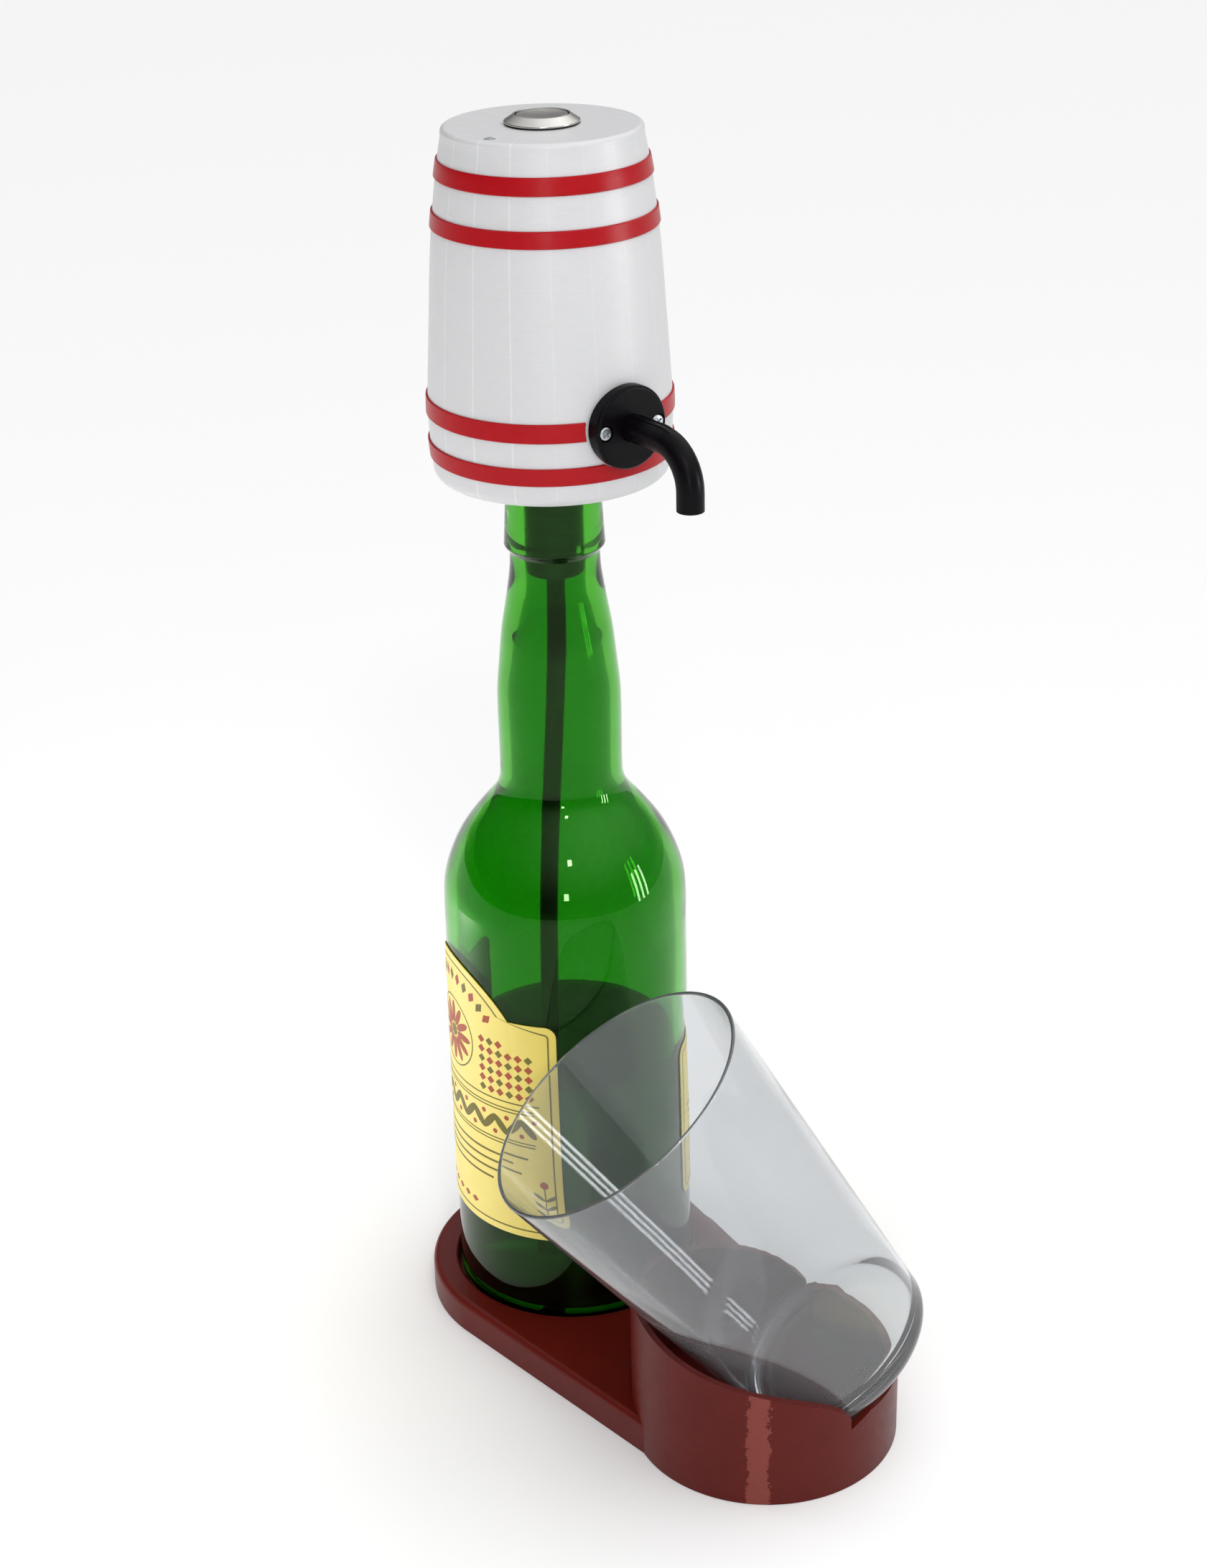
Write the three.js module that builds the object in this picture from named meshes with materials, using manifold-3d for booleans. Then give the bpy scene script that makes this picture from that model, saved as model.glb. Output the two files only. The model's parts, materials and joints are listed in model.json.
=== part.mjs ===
// Electric cider pourer: a barrel-shaped pump head on the mouth of a cider bottle, with the stand that
// holds the bottle upright and the glass leaning under the spout. Millimetres, +Z up, origin on the
// bottle's axis at the underside of the stand, +X from the bottle to the glass's cup.
import * as THREE from 'three';
import { mergeVertices } from 'three/addons/utils/BufferGeometryUtils.js';
import Module from 'manifold-3d';

const wasm = await Module();
wasm.setup();

// Fits shared by all pieces
const seatGap = 0.3; // between a piece and the face that carries it
const slideGap = 0.3; // round a piece that turns or slides in a hole
const thinGap = 0.1; // between stacked flat washers
const overrun = 2; // how far a cutter passes the face that it opens
const weldReach = 0.0005; // vertices closer than this are one

// Stand
const standHeight = 11.5;
const standEndRadius = 50;
const standToeRadius = 40.7;
const standEdgeRound = 2.4;
const cupGap = 20.5; // between the bottle's side and the cup
const pocketFloor = 4;
const pocketClearance = 1.3; // round the bottle
const pocketFlare = 1.1;
const cupRadius = 43;
const cupWall = 2.6;
const cupFloor = 7.5;
const cupRimHeight = 43;
const cupLowWall = 25; // on the side where the glass's heel looks out
const cupNotchFloor = 22;
const cupNotchWidth = 7;
const cupTurn = THREE.MathUtils.degToRad(59.8); // direction of the cup's low side
// The rim falls along one cubic curve: places as shares of the cup's radius, heights as shares of its rim
const rimPlaceShares = [-1, -0.7, 0.23, 0.49];
const rimHeightShares = [0.953, 1, 0.605];

// Cider bottle
const bottleRadius = 40;
const bottleHeight = 291.9;
const bottleWall = 3.6;
const bottleFloor = 6;
const bottleHeel = 6;
const bottlePuntRise = 5;
const neckRadius = 19.8;
const throatRadius = 14.15;
const lipRadius = 15.9;
const lipTopRadius = 14.7;
const lipStep = 3.6; // height over which the throat swells into the lip
const lipRound = 1.2;
const mouthRadius = 9.6;
const mouthDepth = 34;
// Levels as shares of the bottle's height
const shoulderStartShare = 0.506;
const neckStartShare = 0.6636;
const neckTaperShare = 0.7561;
const throatShare = 0.9137;
// Shoulder and neck curves: share of the height passed, share of the radius still to lose
const shoulderShares = [
  [0.174, 0.97], [0.348, 0.851], [0.513, 0.668], [0.678, 0.396], [0.843, 0.094], [0.926, 0.02],
];
const neckShares = [[0.239, 0.823], [0.478, 0.611], [0.639, 0.38], [0.796, 0.168], [0.913, 0.04]];

// Paper labels
const paperThickness = 0.3;
const paperGap = 0.2;
const frontLabelTurn = THREE.MathUtils.degToRad(-105.3);
const frontLabelHalfWidth = 44.5;
const frontArchHalfWidth = 28;
const frontArchRise = 14.7;
const frontLabelCorner = 4;
const backLabelTurn = THREE.MathUtils.degToRad(59.8);
const backLabelHalfWidth = 20;
const backLabelCorner = 3;
// Lower and upper edges as shares of the shoulder's level above the bottle's foot
const frontLabelShares = [0.2485, 0.8043];
const backLabelShares = [0.2546, 0.6479];

// Cider glass
const glassHeight = 126.4;
const glassRimRadius = 45;
const glassFootRadius = 33.2;
const glassHeel = 7.9;
const glassWall = 1.3;
const glassFloor = 7;
const glassInnerHeel = 6;
const glassTilt = THREE.MathUtils.degToRad(35.8);
const glassFootShift = 1.3; // resting point of the heel, from the cup's axis to its low side
const glassSideShift = 2.4; // of the glass's axis from the cup's, square to its lean
const glassClearance = 0.4; // between the glass and the cup's wall

// Stopper in the bottle's mouth
const plugLength = 31.2;
const plugRound = 3.2;
const stopperFlangeRadius = 13.4;
const stopperFlangeThickness = 1.2;

// Barrel-shaped housing
const roomOverBay = 23.2; // for the button and the wires, between the battery bay and the barrel's top
const barrelBelly = 37.4;
const barrelWall = 2.4;
const barrelTopWall = 3;
const barrelTopRound = 1.6;
const barrelFootRound = 4;
// Barrel outline: share of the height, share of the belly's radius
const barrelShares = [
  [0.037, 0.975], [0.1, 0.99], [0.205, 1], [0.3, 0.987], [0.39, 0.971],
  [0.5, 0.951], [0.614, 0.931], [0.72, 0.905], [0.82, 0.872], [0.9, 0.84], [0.972, 0.803],
];
const hoopProud = 0.6;
const hoopGap = 0.12;
// Hoops: lower and upper edge as shares of the barrel's height
const hoopShares = {
  hoop_bottom: [0.0697, 0.1212],
  hoop_lower: [0.195, 0.2496],
  hoop_upper: [0.7274, 0.7749],
  hoop_top: [0.8659, 0.9154],
};
const coverRadius = 29.5;
const coverThickness = 3;
const coverScrewCircle = 26.4;
const coverScrewTurn = THREE.MathUtils.degToRad(20); // in the chassis's frame
const coverBossRadius = 3.2;
const coverBossHeight = 11;

// Push-button in the middle of the top
const bezelRadius = 11.3;
const bezelTopRadius = 8.5;
const bezelHeight = 2.4;
const bezelEdge = 0.5;
const buttonThreadRadius = 9.4;
const buttonBodyDepth = 15;
const buttonCapRadius = 7.7;
const buttonCapThickness = 1.6;
const buttonCapDish = 0.5;
const buttonTravel = 1.5;
const buttonStemRadius = 1.9;
const buttonFloorDepth = 6; // below the barrel's top
const buttonFloorThickness = 2;
const buttonSkirtWall = 1.5; // wall of the threaded body round the contacts
const sealThickness = 0.3;
const sealWidth = 1.2;
const nutThickness = 2.5;
const nutAcrossCorners = 25.4;
const contactDiscRadius = 5.9;
const contactDiscThickness = 0.8;
const stemHeadRadius = 2.8;
const stemHeadHeight = 0.7;
const terminalSpread = 4.6;
const terminalPadRadius = 1.2;
const terminalPadHeight = 1.2;
const terminalWidth = 2.6;
const terminalThickness = 0.6;
const terminalLength = 5.2; // below the insert
const insertThickness = 2.6;
const buttonSpringRadius = 5.2;
const buttonSpringWire = 0.8;

// Status light near the edge of the top
const ledRadius = 1.6;
const ledHeadHeight = 0.5;
const ledBodyLength = 6.5;
const ledPlace = 25.3; // from the barrel's axis
const ledTurn = THREE.MathUtils.degToRad(-72);

// Spout and its flange
const spoutHeight = 23.8; // above the barrel's foot
const flangeRadius = 12.7;
const flangeProud = 3.9; // front face past the belly
const flangeBevel = 1.1;
const flangeScrewSpread = 9.6;
const flangeHubRadius = 3.2;
const flangeHubReach = 27; // its inner end, from the barrel's axis
const flangeSocketDepth = 1.8;
const spoutRadius = 4.15;
const spoutBore = 2.5;
const spoutRun = 27.1; // flange face to the middle of the falling end
const spoutBend = 13;
const spoutDrop = 18.4; // of the tip below the level run
const gasketThickness = 0.8;
const gasketInset = 1;
const spoutBossReach = 31.4; // flat face of the pad inside the barrel's wall
const spoutElbowRadius = 4.8;
const spoutElbowLength = 6;
const spoutElbowPlace = 28; // axis of its falling barb, from the barrel's axis
const barbRadius = 1.8;
const barbBore = 1;
const spoutBarbLength = 4;

// Inlet fitting, hoses and dip tube
const shankRadius = 4.6;
const shankLength = 29.7; // below the barrel's foot
const shankSocketLength = 20;
const elbowCollarRadius = 6.6;
const elbowCollarThickness = 1.2;
const elbowBodyHeight = 8; // above the cover
const inletBarbHeight = 4.6; // above the cover
const inletBarbReach = 10;
const tubeRadius = 3;
const tubeBore = 2;
const tubeFootClearance = 3;
const tubeLean = 6.1; // how far the tube's lower part stands off the bottle's axis
const tubeLeanTurn = THREE.MathUtils.degToRad(-125.34);
// Dip tube: share of its free length from the stopper down, share of its lean
const tubeShares = [[0.1, 0.04], [0.22, 0.3], [0.36, 0.66], [0.5, 0.92], [0.62, 1], [0.8, 1], [1, 1]];
const hoseRadius = 3;
const hoseBore = 2.1;

// Chassis: cover, upright plate, battery bay and motor clip in one print, turned so that the hoses run free
const chassisTurn = THREE.MathUtils.degToRad(45);
const plateHalfWidth = 28.2;
const plateThickness = 2;
const bayOverPlate = 3.2; // of the bay's top past the plate's
const plateArchHalfWidth = 8.5;
const plateArchHeight = 13;
const bayWall = 1.6;
const bayPlace = 8.4; // lower end, above the cover
const bayLip = 3; // of the side walls past the cell's axis
const clipHeight = 10;
const clipWall = 1.8;
const clipPlace = 56; // lower edge, above the cover
const clipOpening = 4.2; // from the pump's axis to the open side

// Pump and motor
const pumpRadius = 13.5;
const portSpread = 6;
const portLength = 8;
const portTipHeight = 18; // above the cover
const portCapThickness = 4;
const diaphragmThickness = 1;
const diaphragmCupRadius = 2.9;
const diaphragmCupHeight = 3;
const diaphragmCupPlace = 5.2;
const pumpHeadHeight = 19;
const pumpHeadWall = 4.2;
const pumpHeadRoof = 2;
const pumpScrewCircle = 11.4;
const yokeThickness = 2;
const yokeHubRadius = 3.2;
const yokeHubHeight = 4;
const yokeArmWidth = 3.4;
const wobblePinRadius = 0.9;
const wobblePinLength = 6.6;
const wobblePinOffset = 1.1; // from the pump's axis, in the hub
const wobbleSweep = 1.5; // room round the pin in the yoke
const hubRadius = 4.6;
const hubHeight = 5;
const motorRadius = 12.2;
const motorHeight = 24.5;
const motorWall = 1;
const motorBossRadius = 3.4;
const motorBossHeight = 1.6;
const motorCapThickness = 2;
const motorShaftRadius = 1;
const motorShaftReach = 9; // below the motor's face
const rotorRadius = 8.4;
const rotorHeight = 13;
const rotorPlace = 6; // above the motor's face
const rotorCoreRadius = 3;
const rotorNeckWidth = 3;
const rotorPoleThickness = 2.4;
const commutatorRadius = 2.6;
const commutatorHeight = 3;
const magnetThickness = 1.9;
const motorTabWidth = 2.4;
const motorTabThickness = 0.5;
const motorTabHeight = 2.6;
const motorTabSpread = 5;

// Battery and charging
const cellRadius = 9.2;
const cellLength = 65;
const cellCapRadius = 3;
const cellCapHeight = 0.8;
const contactSpace = 1.8;
const contactThickness = 0.5;
const contactWidth = 7;
const boardWidth = 13;
const boardHeight = 28;
const boardThickness = 1.2;
const boardStandoff = 1.6;
const boardFoot = 1.2; // above the cover
const railWidth = 2.2;
const railLip = 1.2;
const railHeight = 16;
const usbWidth = 9;
const usbThickness = 3.2;
const usbLength = 7.3;
const usbWall = 0.4;
const usbInset = 2; // of its mouth below the cover's inner face

// Fasteners and wires
const smallHeadRadius = 2.2;
const smallHeadHeight = 1.3;
const smallShankRadius = 1.2;
const smallScrewLength = 8;
const pumpScrewRadius = 0.9;
const pumpScrewHead = 1.6;
const pumpScrewHeadHeight = 1;
const crossSlotWidth = 0.6;
const crossSlotDepth = 0.7;
const wireRadius = 0.7;

// Counts
const roundSteps = 28;
const glassSteps = 40;
const standSteps = 40;
const midRoundSteps = 18;
const smallRoundSteps = 12;
const holeSteps = 7;
const hoseSides = 8;
const wireSides = 5;
const curlSteps = 8;
const springSteps = 36;
const springSides = 5;

// Levels and places that follow from the sizes above
const cupSpacing = bottleRadius + cupGap + cupRadius; // bottle axis to cup axis
const shoulderStart = shoulderStartShare * bottleHeight;
const neckStart = neckStartShare * bottleHeight;
const neckTaperStart = neckTaperShare * bottleHeight;
const throatHeight = throatShare * bottleHeight;
const bottleFoot = pocketFloor + seatGap;
const mouthLevel = bottleFoot + bottleHeight;
const stopperTop = mouthLevel + seatGap + stopperFlangeThickness;
const barrelFoot = stopperTop + seatGap;
const coverTop = barrelFoot + coverThickness;
const bayLow = coverTop + bayPlace;
const bayTop = bayLow + cellLength + 2 * contactSpace + 2 * bayWall;
const barrelTop = bayTop + roomOverBay;
const barrelHeight = barrelTop - barrelFoot;
const deck = coverTop + seatGap; // lowest level of what stands on the cover
const spoutLevel = barrelFoot + spoutHeight;
const flangeFace = barrelBelly + flangeProud;
const pocketRadius = bottleRadius + pocketClearance;
const plateFront = -pumpRadius - seatGap; // pump's axis to the plate's face
const pumpAxis = new THREE.Vector2(0, -plateThickness + plateFront);
const cellAxisY = seatGap + cellRadius;
const portTip = coverTop + portTipHeight;
const portCapLow = portTip + portLength;
const diaphragmLow = portCapLow + portCapThickness + thinGap;
const pumpHeadLow = diaphragmLow + diaphragmThickness + thinGap;
const motorFace = pumpHeadLow + pumpHeadHeight + seatGap;
const motorTop = motorFace + motorHeight;
const bayHalfWidth = cellRadius + slideGap + bayWall;

// A closed solid from a geometry: merged vertices, no empty triangles, faces pointing out
function solid(geometry) {
  const bare = geometry.clone();
  bare.deleteAttribute('normal');
  bare.deleteAttribute('uv');
  const welded = mergeVertices(bare, weldReach);
  const place = welded.attributes.position;
  const corner = [new THREE.Vector3(), new THREE.Vector3(), new THREE.Vector3()];
  const faces = [];
  let volume = 0;
  for (let i = 0; i < welded.index.count; i += 3) {
    const face = [0, 1, 2].map((k) => welded.index.getX(i + k));
    if (new Set(face).size < 3) continue;
    face.forEach((vertex, k) => corner[k].fromBufferAttribute(place, vertex));
    volume += corner[0].dot(corner[1].cross(corner[2]));
    faces.push(face);
  }
  const facing = volume < 0 ? faces.map(([a, b, c]) => [a, c, b]) : faces;
  const mesh = new wasm.Mesh({
    numProp: 3,
    vertProperties: new Float32Array(place.array),
    triVerts: new Uint32Array(facing.flat()),
  });
  return new wasm.Manifold(mesh);
}

function geometryOf(body) {
  const mesh = body.getMesh();
  const geometry = new THREE.BufferGeometry();
  geometry.setAttribute('position', new THREE.BufferAttribute(new Float32Array(mesh.vertProperties), 3));
  geometry.setIndex(new THREE.BufferAttribute(new Uint32Array(mesh.triVerts), 1));
  geometry.computeVertexNormals();
  return geometry;
}

function join(...geometries) {
  return geometryOf(geometries.map(solid).reduce((all, next) => all.add(next)));
}

function cut(base, ...cutters) {
  return geometryOf(cutters.map(solid).reduce((left, cutter) => left.subtract(cutter), solid(base)));
}

function common(first, second) {
  return geometryOf(solid(first).intersect(solid(second)));
}

// A solid of revolution about Z from pairs of radius and height
function turned(profile, steps = roundSteps) {
  const points = profile.map(([radius, height]) => new THREE.Vector2(radius, height));
  const open = points[0].x > 0 || points[points.length - 1].x > 0;
  if (open) points.push(points[0].clone());
  return new THREE.LatheGeometry(points, steps).rotateX(Math.PI / 2);
}

function drum(radius, low, high, steps = smallRoundSteps) {
  return new THREE.CylinderGeometry(radius, radius, high - low, steps)
    .rotateX(Math.PI / 2).translate(0, 0, (low + high) / 2);
}

function ring(outer, inner, low, high, steps = smallRoundSteps) {
  return turned([[inner, low], [outer, low], [outer, high], [inner, high]], steps);
}

function block(lowX, highX, lowY, highY, lowZ, highZ) {
  return new THREE.BoxGeometry(highX - lowX, highY - lowY, highZ - lowZ)
    .translate((lowX + highX) / 2, (lowY + highY) / 2, (lowZ + highZ) / 2);
}

// Points of a round corner from one angle to another, ends included
function corner(centreR, centreZ, radius, from, to, steps = 4) {
  return Array.from({ length: steps + 1 }, (_, i) => {
    const angle = THREE.MathUtils.lerp(from, to, i / steps);
    return [centreR + radius * Math.cos(angle), centreZ + radius * Math.sin(angle)];
  });
}

// A round bar or hose along a path; a bore of zero gives a full bar
function along(path, radius, bore, steps, sides = hoseSides) {
  const circle = (size) => Array.from({ length: sides }, (_, i) => {
    const angle = (2 * Math.PI * i) / sides;
    return new THREE.Vector2(size * Math.cos(angle), size * Math.sin(angle));
  });
  const section = new THREE.Shape(circle(radius));
  if (bore > 0) section.holes.push(new THREE.Path(circle(bore)));
  return new THREE.ExtrudeGeometry(section, { steps, bevelEnabled: false, extrudePath: path });
}

function throughPoints(points) {
  return new THREE.CatmullRomCurve3(points, false, 'centripetal');
}

// A pan-head screw along Z: head above zero, shank below
function screw(headRadius, headHeight, shankRadius, length, crossed = false) {
  const body = turned([
    [0, -length], [shankRadius, -length], [shankRadius, 0], [headRadius, 0],
    [headRadius, headHeight / 2], [headRadius * 0.7, headHeight], [0, headHeight],
  ], smallRoundSteps);
  if (!crossed) return body;
  const reach = headRadius * 0.62;
  const low = headHeight - crossSlotDepth;
  const high = headHeight + overrun;
  const half = crossSlotWidth / 2;
  return cut(body, block(-reach, reach, -half, half, low, high),
    block(-half, half, -reach, reach, low, high));
}

// Places in the chassis's turned frame, seen from the whole object
function chassisPoint(x, y, z) {
  return new THREE.Vector3(x, y, z).applyAxisAngle(new THREE.Vector3(0, 0, 1), chassisTurn);
}

// Finishes: colour, roughness, metalness
const finishes = {
  redBrownPrint: [0x6b231d, 0.35, 0],
  greenGlass: [0x1f7a1f, 0.05, 0],
  clearGlass: [0xe8f0f0, 0.03, 0],
  yellowPaper: [0xe3d987, 0.6, 0],
  whitePrint: [0xececee, 0.3, 0],
  redPrint: [0xc01e28, 0.35, 0],
  blackPlastic: [0x121214, 0.35, 0],
  blackRubber: [0x17171a, 0.6, 0],
  siliconeHose: [0xd8dcdc, 0.4, 0],
  nickel: [0xa8a59c, 0.25, 1],
  zinc: [0xb9bcc0, 0.35, 1],
  steel: [0x8d9094, 0.35, 1],
  brass: [0xb8923f, 0.3, 1],
  greyPlastic: [0x8b8f94, 0.5, 0],
  magnet: [0x3a3c40, 0.5, 0.4],
  copper: [0xb06a3a, 0.35, 1],
  cellWrap: [0x2c7d8f, 0.4, 0],
  boardBlue: [0x1d3f7a, 0.4, 0],
  redWire: [0xb02020, 0.5, 0],
  blackWire: [0x1a1a1a, 0.5, 0],
};

const pourer = new THREE.Group();
const chassis = new THREE.Group();
chassis.rotation.z = chassisTurn;
pourer.add(chassis);

// The cup's own frame, with +X to its low side, and the leaning glass's frame inside it
const cup = new THREE.Group();
cup.position.set(cupSpacing, 0, 0);
cup.rotation.z = cupTurn;
pourer.add(cup);
const lean = new THREE.Group();
const heelReach = glassFootRadius - glassHeel;
lean.position.set(
  glassFootShift + heelReach * Math.cos(glassTilt) + glassHeel * Math.sin(glassTilt),
  -glassSideShift,
  cupFloor + seatGap + glassHeel + heelReach * Math.sin(glassTilt) - glassHeel * Math.cos(glassTilt),
);
lean.rotation.y = -glassTilt;
cup.add(lean);
pourer.updateMatrixWorld(true);

function add(name, geometry, finish, group = pourer) {
  const [color, roughness, metalness] = finishes[finish];
  const material = new THREE.MeshStandardMaterial({ color, roughness, metalness });
  const mesh = new THREE.Mesh(geometryOf(solid(geometry)), material);
  mesh.name = name;
  group.add(mesh);
}

// Outline of the glass grown by a clearance, from the middle of its foot to its rim
function glassOutline(grow, rimHeight) {
  const taper = (glassRimRadius - glassFootRadius) / (glassHeight - glassHeel);
  const centre = glassFootRadius - glassHeel;
  return [
    [0, -grow],
    ...corner(centre, glassHeel, glassHeel + grow, -Math.PI / 2, 0, 5),
    [glassFootRadius + grow + taper * (rimHeight - glassHeel), rimHeight],
  ];
}

// Height of the leaning glass's underside above a place across the cup
function glassUnderside(place) {
  const taper = Math.atan((glassRimRadius - glassFootRadius) / (glassHeight - glassHeel));
  const heelCentre = new THREE.Vector2(
    lean.position.x - heelReach * Math.cos(glassTilt) - glassHeel * Math.sin(glassTilt),
    lean.position.z - heelReach * Math.sin(glassTilt) + glassHeel * Math.cos(glassTilt),
  );
  const slope = Math.PI / 2 - glassTilt - taper;
  const run = heelCentre.x - place;
  return heelCentre.y + run * Math.tan(slope) - glassHeel / Math.cos(slope);
}

function makeStand() {
  const tangent = Math.acos((standEndRadius - standToeRadius) / cupSpacing);
  const outline = new THREE.Shape();
  outline.absarc(0, 0, standEndRadius, tangent, 2 * Math.PI - tangent, false);
  outline.absarc(cupSpacing, 0, standToeRadius, -tangent, tangent, false);
  const plate = new THREE.ExtrudeGeometry(outline, {
    depth: standHeight - standEdgeRound + overrun,
    bevelThickness: standEdgeRound,
    bevelSize: standEdgeRound,
    bevelOffset: -standEdgeRound,
    bevelSegments: 3,
    curveSegments: standSteps / 2,
  }).translate(0, 0, -overrun);
  const reach = standEndRadius + cupSpacing + cupRadius;
  const below = block(-reach, reach, -reach, reach, -overrun - 2 * standEdgeRound, 0);

  const restHeight = glassUnderside(cupWall / 2 - cupRadius) - glassClearance;
  const places = rimPlaceShares.map((share) => share * cupRadius);
  const heights = [restHeight, ...rimHeightShares.map((share) => share * cupRimHeight)];
  const [start, first, second, end] = places.map((place, i) => new THREE.Vector2(place, heights[i]));
  const outside = cupRadius + overrun;
  const rim = new THREE.Shape();
  rim.moveTo(-outside, -overrun);
  rim.lineTo(-outside, start.y);
  rim.lineTo(start.x, start.y);
  rim.bezierCurveTo(first.x, first.y, second.x, second.y, end.x, end.y);
  rim.lineTo(end.x, cupNotchFloor);
  rim.lineTo(end.x + cupNotchWidth, cupLowWall);
  rim.lineTo(outside, cupLowWall);
  rim.lineTo(outside, -overrun);
  const span = 2 * outside;
  const rimPrism = new THREE.ExtrudeGeometry(rim,
    { depth: span, bevelEnabled: false, curveSegments: midRoundSteps })
    .translate(0, 0, -span / 2).rotateX(Math.PI / 2);
  const wall = common(drum(cupRadius, 0, restHeight + overrun, standSteps), rimPrism)
    .applyMatrix4(cup.matrixWorld);

  const pocket = turned([
    [0, pocketFloor], [pocketRadius, pocketFloor], [pocketRadius, standHeight - pocketFlare],
    ...corner(pocketRadius + pocketFlare, standHeight - pocketFlare, pocketFlare, Math.PI, Math.PI / 2, 3),
    [pocketRadius + pocketFlare, standHeight + overrun], [0, standHeight + overrun],
  ], standSteps);
  const hollow = drum(cupRadius - cupWall, cupFloor, restHeight + overrun, standSteps)
    .translate(cupSpacing, 0, 0);
  const room = glassHeight / 2;
  const glassRoom = turned([...glassOutline(glassClearance, room), [0, room]], glassSteps)
    .applyMatrix4(lean.matrixWorld);
  add('stand_base', cut(join(plate, wall), below, pocket, hollow, glassRoom), 'redBrownPrint');
}

// Radius of a falling curve: from one radius to a smaller one between two heights
function curveBetween(shares, topRadius, lowRadius, low, high) {
  return shares.map(([passed, left]) => [
    topRadius + left * (lowRadius - topRadius), low + passed * (high - low),
  ]);
}

function makeBottle() {
  const lipStart = throatHeight + lipStep;
  const outside = [
    [0, bottlePuntRise], [bottleRadius / 2, bottlePuntRise * 0.8], [bottleRadius - bottleHeel, 0],
    ...corner(bottleRadius - bottleHeel, bottleHeel, bottleHeel, -Math.PI / 2, 0).slice(1),
    [bottleRadius, shoulderStart],
    ...curveBetween(shoulderShares, neckRadius, bottleRadius, shoulderStart, neckStart),
    [neckRadius, neckStart], [neckRadius, neckTaperStart],
    ...curveBetween(neckShares, throatRadius, neckRadius, neckTaperStart, throatHeight),
    [throatRadius, throatHeight], [throatRadius, throatHeight + lipStep / 2],
    [lipRadius - lipRound / 2, lipStart], [lipRadius, lipStart + lipRound],
    [lipTopRadius, bottleHeight - lipRound], [lipTopRadius - lipRound, bottleHeight],
  ];
  const innerBody = bottleRadius - bottleWall;
  const innerNeck = neckRadius - bottleWall;
  const innerThroat = bottleHeight - mouthDepth;
  const everyOther = (shares) => shares.filter((share, i) => i % 2 === 0).reverse();
  const inside = [
    [mouthRadius, bottleHeight], [mouthRadius, innerThroat],
    ...curveBetween(everyOther(neckShares), mouthRadius, innerNeck, neckTaperStart, innerThroat),
    [innerNeck, neckTaperStart], [innerNeck, neckStart],
    ...curveBetween(everyOther(shoulderShares), innerNeck, innerBody, shoulderStart, neckStart),
    [innerBody, shoulderStart],
    ...corner(innerBody - bottleHeel, bottleFloor + bottleHeel, bottleHeel, 0, -Math.PI / 2, 4),
    [bottleRadius / 2, bottlePuntRise * 0.8 + bottleFloor], [0, bottlePuntRise + bottleFloor],
  ];
  add('cider_bottle', turned([...outside, ...inside]).translate(0, 0, bottleFoot), 'greenGlass');
}

// A sheet of paper round the bottle, made of columns with their own lower and upper ends
function wrappedPaper(halfWidth, lowAt, highAt, columns) {
  const inner = bottleRadius + paperGap;
  const outer = inner + paperThickness;
  const points = [];
  const faces = [];
  for (let i = 0; i <= columns; i += 1) {
    const share = -Math.cos((Math.PI * i) / columns);
    const along = share * halfWidth;
    const angle = along / bottleRadius;
    const [low, high] = [lowAt(along), highAt(along)];
    for (const [radius, height] of [[inner, low], [outer, low], [outer, high], [inner, high]])
      points.push(radius * Math.cos(angle), radius * Math.sin(angle), height);
  }
  const quad = (a, b, c, d) => faces.push(a, b, c, a, c, d);
  for (let i = 0; i < columns; i += 1)
    for (let k = 0; k < 4; k += 1) {
      const next = (k + 1) % 4;
      quad(4 * i + k, 4 * i + next, 4 * i + 4 + next, 4 * i + 4 + k);
    }
  quad(3, 2, 1, 0);
  quad(4 * columns, 4 * columns + 1, 4 * columns + 2, 4 * columns + 3);
  const paper = new THREE.BufferGeometry();
  paper.setAttribute('position', new THREE.Float32BufferAttribute(points, 3));
  paper.setIndex(faces);
  return paper;
}

// Drop of a rounded corner at a place near a sheet's side edge
function cornerDrop(along, halfWidth, radius) {
  const into = Math.abs(along) - (halfWidth - radius);
  return into > 0 ? radius - Math.sqrt(Math.max(radius * radius - into * into, 0)) : 0;
}

function makeLabels() {
  const [frontBottom, frontShoulder] = frontLabelShares.map((share) => share * shoulderStart);
  const [backBottom, backHigh] = backLabelShares.map((share) => share * shoulderStart);
  const archRadius = (frontArchHalfWidth ** 2 + frontArchRise ** 2) / (2 * frontArchRise);
  const archBase = frontShoulder + frontArchRise - archRadius;
  const frontTop = (along) => {
    const shoulder = frontShoulder - cornerDrop(along, frontLabelHalfWidth, frontLabelCorner);
    if (Math.abs(along) > frontArchHalfWidth) return shoulder;
    return archBase + Math.sqrt(archRadius ** 2 - along ** 2);
  };
  const frontLow = (along) => frontBottom + cornerDrop(along, frontLabelHalfWidth, frontLabelCorner);
  add('front_label', wrappedPaper(frontLabelHalfWidth, frontLow, frontTop, midRoundSteps)
    .rotateZ(frontLabelTurn).translate(0, 0, bottleFoot), 'yellowPaper');
  const backTop = (along) => backHigh - cornerDrop(along, backLabelHalfWidth, backLabelCorner);
  const backLow = (along) => backBottom + cornerDrop(along, backLabelHalfWidth, backLabelCorner);
  add('back_label', wrappedPaper(backLabelHalfWidth, backLow, backTop, smallRoundSteps)
    .rotateZ(backLabelTurn).translate(0, 0, bottleFoot), 'yellowPaper');
}

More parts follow.
